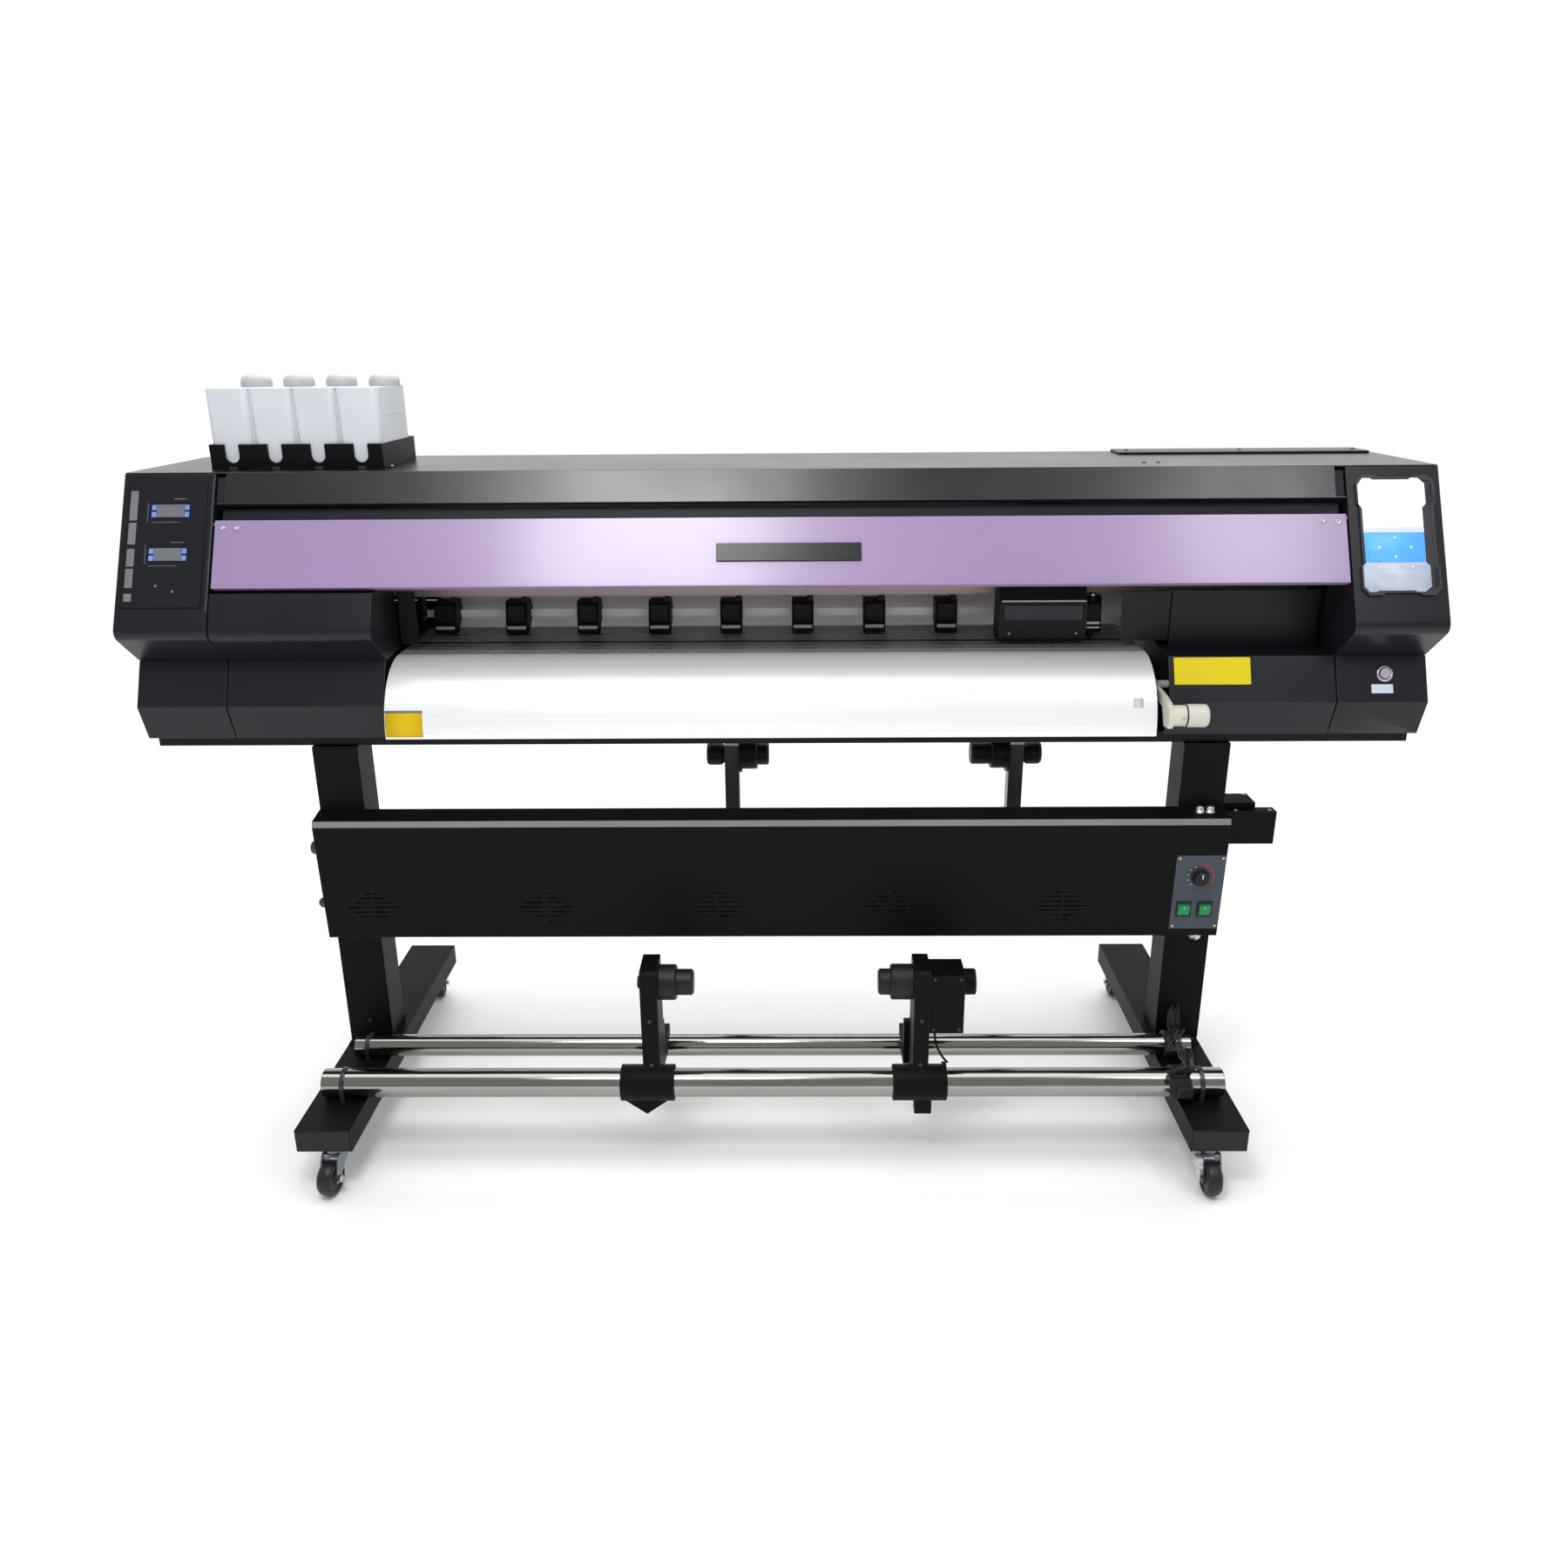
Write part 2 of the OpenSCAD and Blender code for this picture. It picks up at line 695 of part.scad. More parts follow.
module grit_roller() {
    color("#8d9196") {
        bar(platen_left - 4, platen_right + 4, grit_y, grit_z, grit_r);
        bar(-support_x - 8, support_x + 8, grit_y, grit_z, 6);
    }
}

function pinch_x(i) = first_pinch_x + i * pinch_pitch;

module pinch_arms() {
    half = 25;
    cheek = 3;
    color(black) {
        bar(-support_x - 6, support_x + 6, pinch_shaft_y, pinch_shaft_z, pinch_shaft_r);
        for (i = [0 : pinch_count - 1]) {
            x = pinch_x(i);
            for (c = [x - half, x + half - cheek])
                slab(c, c + cheek, [[204, 1067], [220, 1067], [254, 1090], [274, 1098], [274, 1118], [262,
                    1140],
                    [215, 1140], [203, 1092]]);
            slab(x - half, x + half, [[206, 1084], [238, 1084], [254, 1092], [274, 1098], [274, 1118],
                [262, 1140],
                [215, 1140], [204, 1092]]);
            bar(x - half, x + half, grit_y, pinch_z, 2);
        }
    }
}

module pinch_rollers() {
    half = 21;
    color(steel) for (i = [0 : pinch_count - 1]) difference() {
        bar(pinch_x(i) - half, pinch_x(i) + half, grit_y, pinch_z, pinch_r);
        bar(pinch_x(i) - half - 1, pinch_x(i) + half + 1, grit_y, pinch_z, 2 + running_gap);
    }
}

module pinch_lever() {
    arm0 = 801;
    arm1 = 811;
    grip_y = -156;
    grip_z = 968;
    color(cream) {
        slab(arm0, arm1, [[-20, 1012], [-60, 1004], [-118, 1000], [-150, 995], [-172, 984], [-178, 968],
            [-172, 945],
            [-140, 942], [-130, 960], [-118, 978], [-60, 982], [-20, 982], [-6, 988], [-2, 1000], [-6,
                1008]]);
        translate([arm1 - 1, grip_y, grip_z]) rotate([0, 90, 0]) rotate_extrude()
            polygon([[0, 0], [22, 0], [22, 27], [24, 29], [24, 70], [21, 74], [0, 74]]);
        bar(arm1 - 1, support_x + 6, lever_pivot[0], lever_pivot[1], 8);
    }
}

module capping_station() {
    sled_left = 890;
    sled_top = 1044;
    mid_y = 135;
    rim = 5;
    color(dark) {
        box([sled_left, mid_y - 45, 1012], [sled_left + 220, mid_y + 45, sled_top]);
        for (x = [sled_left + 35, sled_left + 110])
            difference() {
                box([x, mid_y - 30, sled_top - 1], [x + 50, mid_y + 30, sled_top + 11]);
                box([x + rim, mid_y - 30 + rim, sled_top + 4], [x + 50 - rim, mid_y + 30 - rim,
                    sled_top + 12]);
            }
        box([sled_left + 190, mid_y - 35, sled_top - 1], [sled_left + 193, mid_y + 35, sled_top + 16]);
        for (x = capping_posts)
            translate([x, mid_y, 975]) cylinder(r = 5, h = 38);
    }
}

// ---- Covers ----

module roof_cover() {
    band = 70;
    end_strip = 22;
    rear_panel_bottom = 1110;
    rear_skirt_bottom = 1030;
    color(black) {
        box([-half_w, top_front[0], roof_z - sheet], [half_w, rear_y, roof_z]);
        box([-half_w, rear_y - sheet, rear_panel_bottom], [half_w, rear_y, roof_z]);
        box([-support_x + 8, rear_y - sheet, rear_skirt_bottom], [support_x - 8, rear_y,
            rear_panel_bottom + 1]);
        on_slope() {
            box([-tower_in + end_strip, 0, -band], [tower_in - end_strip, sheet, 0]);
            box([-tower_in + 1, 10, -band], [tower_in - 1, 10 + sheet, -8]);
            for (s = [-1, 1])
                box([s * (tower_in - end_strip - sheet / 2) - sheet / 2, 0, -band],
                    [s * (tower_in - end_strip - sheet / 2) + sheet / 2, 12, -6]);
            box([-tower_in + 1, 0, -band], [tower_in - 1, 30, -band + sheet]);
        }
    }
}

module front_cover() {
    top = -104;
    bottom = -249;
    recess_d = 3;
    half = tower_in - 4;
    color("#a98fbf") on_slope() {
        box([-half, recess_d, bottom], [half, recess_d + 14, top]);
        for (s = [-1, 1])
            bar(s > 0 ? half - 1 : -tower_in - 4, s > 0 ? tower_in + 4 : -half + 1, recess_d + 7, top - 7, 4);
    }
}

// Upper cover of an end tower
module tower_cover(side) {
    outer_x = side * half_w;
    inner_x = side * tower_in;
    lo = min(outer_x, inner_x);
    hi = max(outer_x, inner_x);
    rear = rear_y - sheet;
    top = roof_z - sheet;
    shell_top = [top_front[0] - sheet * tan(slope_angle), top];
    color(black) difference() {
        slab(lo, hi, concat([shell_top], fillet(top_front, nose, recess, nose_r),
            [recess, [rear, recess[1]], [rear, top]]));
        slab(lo + wall, hi - wall, concat([[shell_top[0] + 2 * wall, top + 1]],
            fillet(top_front + [wall, 0], nose + [wall * 1.2, 0], recess + [wall, wall], nose_r - wall),
            [recess + [wall, wall], [rear + 1, recess[1] + wall], [rear + 1, top + 1]]));
        box([min(inner_x - 4, inner_x + 4), 22, recess[1] - 1],
            [max(inner_x - 4, inner_x + 4), rear + 1, top + 1]);
        box([min(inner_x, outer_x - side * wall), 16, recess[1] - 1],
            [max(inner_x, outer_x - side * wall), rear + 1, recess[1] + wall + 1]);
        on_slope() bar(inner_x - 5, inner_x + 5, 10, -111, 4 + running_gap);
    }
}

// Lower front cover between two X stations, with an end wall where asked; its top reaches back to flange
module lower_shell(x0, x1, close_low, close_high, depth, flange) {
    inner = [[recess[0] + wall, recess[1] - 1 - wall], [lower_bulge[0] + wall, lower_bulge[1]],
        [lower_front[0] + wall, lower_front[1] - 1], [depth + 1, lower_front[1] - 1], [depth + 1, recess[1]],
        [flange, recess[1]], [flange, recess[1] - 1 - wall]];
    difference() {
        slab(x0, x1, [recess - [0, 1], lower_bulge, lower_front, [depth, lower_front[1]], [depth,
            recess[1] - 1]]);
        slab(x0 + (close_low ? wall : -1), x1 - (close_high ? wall : -1), inner);
    }
}

module left_lower_covers() {
    color(black) {
        lower_shell(-half_w, -tower_in - 1.5, true, false, rear_y - 6, 16);
        lower_shell(-tower_in + 1.5, platen_left - 5, false, false, -5, -4);
    }
}

module right_lower_covers() {
    shield_y = 47;
    color(black) difference() {
        union() {
            lower_shell(tower_in + 1.5, half_w, false, true, rear_y - 6, 16);
            lower_shell(right_cover_start, tower_in - 1.5, false, false, shield_y, shield_y + 1);
            box([support_x + 8, shield_y - wall, recess[1] - 2], [tower_in - 1.5, shield_y, 1190]);
            on_button_face() rotate([90, 0, 0]) cylinder(r = 16, h = 4);
        }
        on_button_face() rotate([90, 0, 0]) translate([0, 0, -20]) cylinder(r = 11.3, h = 30);
    }
}

module power_button() {
    color(steel) on_button_face() rotate([90, 0, 0]) {
        translate([0, 0, -14]) cylinder(r = 11, h = 21);
        translate([0, 0, -20]) cylinder(r = 13, h = 6);
    }
}

module left_media_cover() {
    x0 = -tower_in + 1.5;
    x1 = -834;
    back = 40;
    top = 1221;
    face_top = [top_front[0] - (roof_z - top) * tan(slope_angle) + 4, top];
    tip = nose + [6, -4];
    color(black) difference() {
        slab(x0, x1, concat([face_top], fillet(face_top, tip, recess, nose_r), [recess, [back, recess[1]],
            [back, top]]));
        slab(x0 - 1, x1 - wall, concat([face_top + [wall, -wall]],
            fillet(face_top + [wall, 0], tip + [wall * 1.2, 0], recess + [wall, wall], nose_r - wall),
            [recess + [wall, wall], [back + 1, recess[1] + wall], [back + 1, top - wall]]));
    }
}

module left_control_panel() {
    color("#17181c") on_slope() difference() {
        box([-1350, -2.5, -292], [-1184, 0, -20]);
        for (z = [-108, -198])
            box([-1305, -3, z], [-1219, -1, z + 42]);
    }
}

// Notched bezel round a display and a keypad
module right_control_panel() {
    x0 = 1186;
    x1 = 1346;
    top = -24;
    bottom = -280;
    notch = 9;
    mid = (top + bottom) / 2;
    color(dark) on_slope() rotate([90, 0, 0]) linear_extrude(6) difference() {
        polygon([[x0 + 14, top], [x0 + 40, top], [x0 + 46, top - 5], [x1 - 46, top - 5], [x1 - 40, top],
            [x1 - 14, top],
            [x1, top - 14], [x1, top - 60], [x1 - notch / 2, top - 66], [x1 - notch / 2, bottom + 66], [x1,
                bottom + 60],
            [x1, bottom + 14], [x1 - 14, bottom], [x1 - 40, bottom], [x1 - 46, bottom + 5], [x0 + 46,
                bottom + 5],
            [x0 + 40, bottom], [x0 + 14, bottom], [x0, bottom + 14], [x0, bottom + 60], [x0 + notch / 2,
                bottom + 66],
            [x0 + notch / 2, mid], [x0 + notch / 2, top - 66], [x0, top - 60], [x0, top - 14]]);
        translate([x0 + 12, bottom + 12]) square([x1 - x0 - 24, top - bottom - 24]);
    }
    color("#8a8d92") on_slope() box([x0 + 12, -3, bottom + 12], [x1 - 12, 0, top - 12]);
}

// ---- Ink ----

module ink_rack() {
    wall_h = 52;
    slot_w = 30;
    slot_bottom = 14;
    t = 2.5;
    color(black) difference() {
        box([rack_left, rack_front, roof_z], [rack_right, rack_rear, roof_z + wall_h]);
        box([rack_left + t, rack_front + front_wall, roof_z + t], [rack_right - t, rack_rear - t,
            roof_z + wall_h + 1]);
        for (i = [0 : 3]) translate([tank_first_x + i * tank_pitch, rack_front - 1, 0]) {
            box([-slot_w / 2, 0, roof_z + slot_bottom + slot_w / 2], [slot_w / 2, front_wall + 2,
                roof_z + wall_h + 1]);
            translate([0, 0, roof_z + slot_bottom + slot_w / 2]) rotate([-90, 0, 0])
                cylinder(r = slot_w / 2, h = front_wall + 2);
        }
    }
    color(black) for (x = [rack_left - 10, rack_right])
        box([x, rack_front + 20, roof_z], [x + 10, rack_front + 50, roof_z + 3]);
}

function tank_x(i) = tank_first_x + i * tank_pitch;

// The necks sit right of the tanks' middles, each a little further than the last
function neck_dx(i) = 6 + 3 * i;

module ink_tanks() {
    y0 = rack_front + front_wall + 1;
    y1 = rack_rear - 24;
    r = 14;
    color("#e9edf0", 0.8) for (i = [0 : tank_count - 1]) translate([tank_x(i), 0, roof_z + 2.5]) {
        linear_extrude(tank_top_z - roof_z - 2.5) union() {
            translate([-tank_w / 2, y0 + r]) square([tank_w, y1 - y0 - 2 * r]);
            translate([-tank_w / 2 + r, y0]) square([tank_w - 2 * r, y1 - y0]);
            for (x = [-tank_w / 2 + r, tank_w / 2 - r], y = [y0 + r, y1 - r]) translate([x, y]) circle(r = r);
        }
        translate([neck_dx(i), cap_y, tank_top_z - roof_z - 3]) cylinder(r = neck_r, h = 12);
    }
}

module ink_cap(i) {
    z0 = tank_top_z + part_gap;
    color("#e4e8ea") translate([tank_x(i) + neck_dx(i), cap_y, z0]) rotate_extrude($fn = 64)
        polygon([[neck_r + running_gap, 0], [32, 0], [32, 12], [31, 16], [28, 20], [22, 23], [12, 25], [0,
            25.5],
            [0, 12], [neck_r + running_gap, 12]]);
}

foot(-1);  // left_foot
foot(1);  // right_foot
leg(-1);  // left_leg
leg(1);  // right_leg
stand_crossbeam();
stand_fasteners();
caster_fork(-1, -1, -left_caster_turn);  // caster_fork_front_left
caster_fork(1, -1, 0);  // caster_fork_front_right
caster_fork(-1, 1, left_caster_turn);  // caster_fork_rear_left
caster_fork(1, 1, 0);  // caster_fork_rear_right
caster_wheel(-1, -1, -left_caster_turn);  // caster_wheel_front_left
caster_wheel(1, -1, 0);  // caster_wheel_front_right
caster_wheel(-1, 1, left_caster_turn);  // caster_wheel_rear_left
caster_wheel(1, 1, 0);  // caster_wheel_rear_right
takeup_rails();
takeup_left_arm();
takeup_left_hub();
takeup_right_arm();
takeup_motor();
takeup_right_hub();
supply_rail_frame();
color(black) supply_arm(-139, -104);  // supply_left_arm
color(dark) supply_hub(-104, 1, 35, 44, 28);  // supply_left_hub
color(black) supply_arm(553, 588);  // supply_right_arm
color(dark) supply_hub(553, -1, 35, 44, 48);  // supply_right_hub
dryer_housing();
dryer_switch_plate();
dryer_knob();
rocker(rocker_left_pos);  // dryer_left_rocker
rocker(rocker_right_pos);  // dryer_right_rocker
junction_box();
base_frame();
gantry_beam();
carriage_base();
carriage_cover();
cutter_holder();
carriage_motor();
print_platen();
front_platen();
grit_roller();
pinch_arms();
pinch_rollers();
pinch_lever();
capping_station();
roof_cover();
front_cover();
tower_cover(-1);  // left_tower_cover
tower_cover(1);  // right_tower_cover
left_lower_covers();
right_lower_covers();
left_media_cover();
left_control_panel();
right_control_panel();
power_button();
ink_rack();
ink_tanks();
ink_cap(0);  // ink_cap_1
ink_cap(1);  // ink_cap_2
ink_cap(2);  // ink_cap_3
ink_cap(3);  // ink_cap_4
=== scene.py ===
import math
import bpy
import bmesh
from mathutils import Matrix, Vector


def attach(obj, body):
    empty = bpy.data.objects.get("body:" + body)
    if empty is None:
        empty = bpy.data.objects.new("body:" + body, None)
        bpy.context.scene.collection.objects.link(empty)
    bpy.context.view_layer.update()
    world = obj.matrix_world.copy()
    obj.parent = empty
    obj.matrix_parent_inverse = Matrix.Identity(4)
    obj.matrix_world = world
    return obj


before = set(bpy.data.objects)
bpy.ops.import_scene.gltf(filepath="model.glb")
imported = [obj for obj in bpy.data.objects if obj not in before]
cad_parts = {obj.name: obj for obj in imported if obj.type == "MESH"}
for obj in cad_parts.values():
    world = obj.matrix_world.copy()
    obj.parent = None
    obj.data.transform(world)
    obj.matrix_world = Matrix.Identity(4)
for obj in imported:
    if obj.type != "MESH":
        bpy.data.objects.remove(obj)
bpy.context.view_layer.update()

ROOT = "stand_and_body"
MM = 0.001
SHARP = math.radians(34)    # edges that turn by more than this are rounded
RIGHT, FRONT, BACK, UP, DOWN = (1, 0, 0), (0, -1, 0), (0, 1, 0), (0, 0, 1), (0, 0, -1)


# ---------------- camera

def placed(name, data):
    """An object with this data, in the scene."""
    thing = bpy.data.objects.new(name, data)
    bpy.context.scene.collection.objects.link(thing)
    return thing


def make_camera():
    """Standing eye level in front of the machine, looking slightly down."""
    place = Vector((0.0395, -2.66, 1.701))
    pitch, yaw, roll = math.radians(19.345), math.radians(-0.673), math.radians(-0.433)
    look = Vector((math.sin(yaw) * math.cos(pitch), math.cos(yaw) * math.cos(pitch), -math.sin(pitch)))
    side = Vector((math.cos(yaw), -math.sin(yaw), 0.0))
    above = side.cross(look)
    right = math.cos(roll) * side + math.sin(roll) * above
    up = math.cos(roll) * above - math.sin(roll) * side
    data = bpy.data.cameras.new("camera")
    data.sensor_width = 36.0
    data.lens = 28.884
    camera = placed("camera", data)
    turn = Matrix((right, up, -look)).transposed()
    camera.matrix_world = Matrix.Translation(place) @ turn.to_4x4()
    bpy.context.scene.camera = camera


make_camera()


# ---------------- materials

def new_node(tree, kind, **values):
    """A node with its inputs set; an underscore stands for a space in an input's name."""
    node = tree.nodes.new(kind)
    for name, value in values.items():
        node.inputs[name.replace("_", " ")].default_value = value
    return node


class Graph:
    """A material's node graph, with short ways to add the nodes used here."""

    def __init__(self, name):
        self.material = bpy.data.materials.new(name)
        self.material.use_nodes = True
        self.tree = self.material.node_tree
        self.shader = self.tree.nodes["Principled BSDF"]
        self.coords = self.tree.nodes.new("ShaderNodeTexCoord")

    def link(self, out, into):
        self.tree.links.new(out, into)

    def noise(self, scale, detail=3.0, stretch=(1, 1, 1), rough=0.5):
        node = new_node(self.tree, "ShaderNodeTexNoise", Scale=scale, Detail=detail, Roughness=rough)
        mapping = new_node(self.tree, "ShaderNodeMapping", Scale=stretch)
        self.link(self.coords.outputs["Object"], mapping.inputs["Vector"])
        self.link(mapping.outputs["Vector"], node.inputs["Vector"])
        return node.outputs["Fac"]

    def ramp(self, value, low, high, from_low=0.3, from_high=0.7):
        node = new_node(self.tree, "ShaderNodeMapRange", From_Min=from_low, From_Max=from_high, To_Min=low,
                        To_Max=high)
        self.link(value, node.inputs["Value"])
        return node.outputs["Result"]

    def times(self, a, b):
        node = self.tree.nodes.new("ShaderNodeMath")
        node.operation = "MULTIPLY"
        self.link(a, node.inputs[0])
        self.link(b, node.inputs[1])
        return node.outputs["Value"]

    def mix(self, factor, a, b):
        node = self.tree.nodes.new("ShaderNodeMix")
        node.data_type = "RGBA"
        self.link(factor, node.inputs["Factor"])
        for socket, value in ((node.inputs["A"], a), (node.inputs["B"], b)):
            if isinstance(value, tuple):
                socket.default_value = (*value, 1.0)
            else:
                self.link(value, socket)
        return node.outputs["Result"]

    def edges(self):
        """One along outer edges, where a rounded normal leaves the face's own, and zero on flat faces."""
        radius = 0.0025
        dot_on_edge, dot_on_face = 0.86, 0.995
        geometry = self.tree.nodes.new("ShaderNodeNewGeometry")
        rounded = new_node(self.tree, "ShaderNodeBevel", Radius=radius)
        rounded.samples = 2
        dot = self.tree.nodes.new("ShaderNodeVectorMath")
        dot.operation = "DOT_PRODUCT"
        self.link(rounded.outputs["Normal"], dot.inputs[0])
        self.link(geometry.outputs["Normal"], dot.inputs[1])
        return self.ramp(dot.outputs["Value"], 1.0, 0.0, dot_on_edge, dot_on_face)

    def bump(self, height, strength):
        node = new_node(self.tree, "ShaderNodeBump", Strength=strength, Distance=MM)
        self.link(height, node.inputs["Height"])
        self.link(node.outputs["Normal"], self.shader.inputs["Normal"])


# Noise scales, in waves to the metre
DUST_SCALE, SCUFF_SCALE, SMUDGE_SCALE = 300.0, 45.0, 5.0
GLOW_CLOUD_SCALE, GLOW_SMUDGE_SCALE, GLOW_GRAIN = 30.0, 40.0, 300.0


def scaled(colour, factor):
    return tuple(min(1.0, c * factor) for c in colour)


def finish(name, colour, rough, metal=0.0, vary=0.1, cloud=5.0, grain=500, bump=0.05, coat=0.0,
           wear=0.0, stretch=(1, 1, 1), spread=0.03, subsurface=0.0, specular=0.5, dust=0.0):
    """A surface with cloudy colour, uneven gloss, fine relief and worn edges."""
    g = Graph(name)
    tone = g.mix(g.ramp(g.noise(cloud), 0.0, 1.0), scaled(colour, 1 - vary), scaled(colour, 1 + vary))
    if dust:
        specks = g.ramp(g.noise(DUST_SCALE, 6.0, rough=0.7), 0.0, dust, 0.5, 0.8)
        tone = g.mix(specks, tone, tuple(c * 0.9 + 0.01 for c in colour))
    if wear:
        scuffs = g.times(g.edges(), g.ramp(g.noise(SCUFF_SCALE), 0.0, wear, 0.35, 0.65))
        tone = g.mix(scuffs, tone, tuple(c * 0.6 + 0.16 for c in colour))
    g.link(tone, g.shader.inputs["Base Color"])
    fine = g.noise(grain, 2.0, stretch)
    smudges = g.ramp(g.noise(SMUDGE_SCALE, 4.0), rough - spread, rough + spread)
    g.link(smudges, g.shader.inputs["Roughness"])
    g.bump(fine, bump)
    for socket, value in (("Metallic", metal), ("Coat Weight", coat), ("Coat Roughness", 0.2),
                          ("Specular IOR Level", specular)):
        g.shader.inputs[socket].default_value = value
    if subsurface:
        g.shader.inputs["Subsurface Weight"].default_value = subsurface
        g.shader.inputs["Subsurface Radius"].default_value = (0.02, 0.02, 0.02)
    return g.material


def glow(name, colour, strength):
    """A surface that glows: a lit display behind its window, and painted glow on keypads and keys that hold
    no lamp.
    """
    g = Graph(name)
    vary = 0.08
    tone = g.mix(g.ramp(g.noise(GLOW_CLOUD_SCALE), 0.0, 1.0), scaled(colour, 1 - vary),
                 scaled(colour, 1 + vary))
    g.link(tone, g.shader.inputs["Base Color"])
    g.link(tone, g.shader.inputs["Emission Color"])
    g.link(g.ramp(g.noise(GLOW_SMUDGE_SCALE), 0.36, 0.46), g.shader.inputs["Roughness"])
    g.shader.inputs["Emission Strength"].default_value = strength
    g.bump(g.noise(GLOW_GRAIN), 0.02)
    return g.material


BRUSHED_X = (0.02, 1, 1)
PLASTIC = finish("satin_black_plastic", (0.0065, 0.0078, 0.0115), 0.34, vary=0.08, grain=1500, bump=0.04,
                 wear=0.25, dust=0.2, specular=0.3)
ROOF = finish("satin_roof_plastic", (0.0055, 0.0062, 0.0085), 0.3, vary=0.06, grain=1500, bump=0.03, wear=0.2,
              specular=0.62)
PLASTIC_COARSE = finish("grained_black_plastic", (0.009, 0.009, 0.012), 0.5, grain=700, bump=0.12, wear=0.25,
                        dust=0.2, specular=0.25)
PAINT = finish("black_powder_coat", (0.003, 0.0033, 0.004), 0.48, grain=420, bump=0.08, wear=0.3, dust=0.15,
               specular=0.09)
# Pale grey painted as the highlight on the dryer's folded top lip, against the black housing
LIP_PAINTED_HIGHLIGHT = finish("lip_painted_highlight", (0.19, 0.193, 0.2), 0.32, cloud=1.5, grain=420, bump=0.06)
SATIN_ARM = finish("satin_arm_paint", (0.075, 0.078, 0.085), 0.32, vary=0.12, cloud=3.0, grain=420)
DARK = finish("dark_inner_paint", (0.009, 0.009, 0.011), 0.55, grain=380, bump=0.1, dust=0.2, specular=0.15)
VIOLET = finish("violet_lacquer", (0.275, 0.195, 0.355), 0.34, vary=0.03, cloud=2.0, grain=1800, bump=0.012,
                coat=0.6, spread=0.02)
SILVER = finish("silver_platen", (0.84, 0.855, 0.87), 0.36, metal=0.3, vary=0.02, cloud=2.0, grain=220,
                bump=0.012, stretch=BRUSHED_X, spread=0.03)
CHROME = finish("polished_tube", (0.33, 0.32, 0.295), 0.13, metal=1.0, vary=0.05, grain=160, bump=0.003,
                stretch=BRUSHED_X, spread=0.02)
STEEL = finish("satin_steel", (0.55, 0.56, 0.57), 0.32, metal=1.0, vary=0.12, bump=0.06)
DARK_STEEL = finish("blackened_steel", (0.06, 0.06, 0.065), 0.35, metal=0.8, vary=0.15, bump=0.06)
FORK = finish("plated_fork", (0.22, 0.25, 0.29), 0.28, metal=0.9, vary=0.15, grain=400)
TREAD = finish("caster_tread", (0.014, 0.0145, 0.016), 0.42, vary=0.25, grain=350, bump=0.12, dust=0.4,
               specular=0.35)
RUBBER = finish("black_rubber", (0.007, 0.007, 0.008), 0.45, vary=0.2, bump=0.12, wear=0.2, specular=0.3)
PLATEN = finish("dark_anodised_platen", (0.44, 0.46, 0.49), 0.36, metal=0.2, vary=0.08, grain=240, bump=0.04,
                stretch=BRUSHED_X)
BEAM = finish("beam_alloy", (0.42, 0.35, 0.31), 0.42, metal=0.3, vary=0.08, grain=260, stretch=BRUSHED_X)
BACK_SHEET = finish("grey_back_sheet", (0.88, 0.86, 0.85), 0.4, vary=0.08, cloud=3.0, grain=260, bump=0.04,
                    stretch=BRUSHED_X)
CREAM = finish("cream_plastic", (0.58, 0.55, 0.48), 0.4, vary=0.04, grain=900, bump=0.06, dust=0.1)
MILKY = finish("milky_tank", (0.56, 0.585, 0.63), 0.33, vary=0.04, cloud=7.0, grain=600, bump=0.03,
               subsurface=0.3)
CAP = finish("milky_cap", (0.5, 0.5, 0.5), 0.4, vary=0.05, grain=700, subsurface=0.25)
BUTTON = finish("button_metal", (0.7, 0.66, 0.78), 0.2, metal=0.8, grain=700, bump=0.03)
GREEN = finish("green_rocker", (0.008, 0.25, 0.075), 0.35, vary=0.15, grain=900, bump=0.02, specular=0.3)
PANEL = finish("panel_black", (0.006, 0.007, 0.01), 0.28, vary=0.15, grain=1200, bump=0.03, coat=0.1,
               specular=0.3)
PLATE = finish("switch_plate_blue", (0.045, 0.058, 0.075), 0.42, grain=800, bump=0.06, specular=0.3)
BEZEL = finish("bezel_grey", (0.03, 0.033, 0.04), 0.36, vary=0.12, grain=900, specular=0.35)
YELLOW = finish("yellow_label", (0.68, 0.55, 0.012), 0.5, vary=0.05, bump=0.03, specular=0.2)
ORANGE = finish("orange_label", (0.62, 0.41, 0.006), 0.5, vary=0.05, bump=0.03, specular=0.2)
WHITE = finish("white_label", (0.62, 0.68, 0.8), 0.4, vary=0.05, bump=0.03)
GREY = finish("grey_mark", (0.14, 0.145, 0.155), 0.45, grain=600, bump=0.04)
PALE_GREY = finish("pale_grey_mark", (0.56, 0.56, 0.57), 0.45, vary=0.06, grain=600, bump=0.04)
RED = finish("red_scale", (0.45, 0.015, 0.03), 0.4, grain=600, bump=0.03)
BELT = finish("belt_rubber", (0.02, 0.02, 0.02), 0.6, vary=0.2, grain=300, bump=0.2)
QUARTZ = finish("heater_tube", (0.5, 0.42, 0.36), 0.2, grain=600, bump=0.02)
SCREEN = glow("screen_white", (0.88, 0.9, 0.93), 0.55)
# Painted glow: the blue keypad holds no lamp
KEYPAD_PAINTED_GLOW = glow("keypad_blue_painted_glow", (0.075, 0.33, 0.84), 0.45)
# Near-black violet that paints the shade in the gap under the roof's band and at the band's ends
PAINTED_GAP_SHADE = finish("violet_shadow", (0.014, 0.012, 0.021), 0.5, specular=0.2)
# Painted glow: the grey lower field of the keypad holds no lamp
LOWER_PAD_PAINTED_GLOW = glow("keypad_grey_painted_glow", (0.42, 0.47, 0.56), 0.15)
LCD = glow("lcd_grey", (0.115, 0.125, 0.14), 0.1)
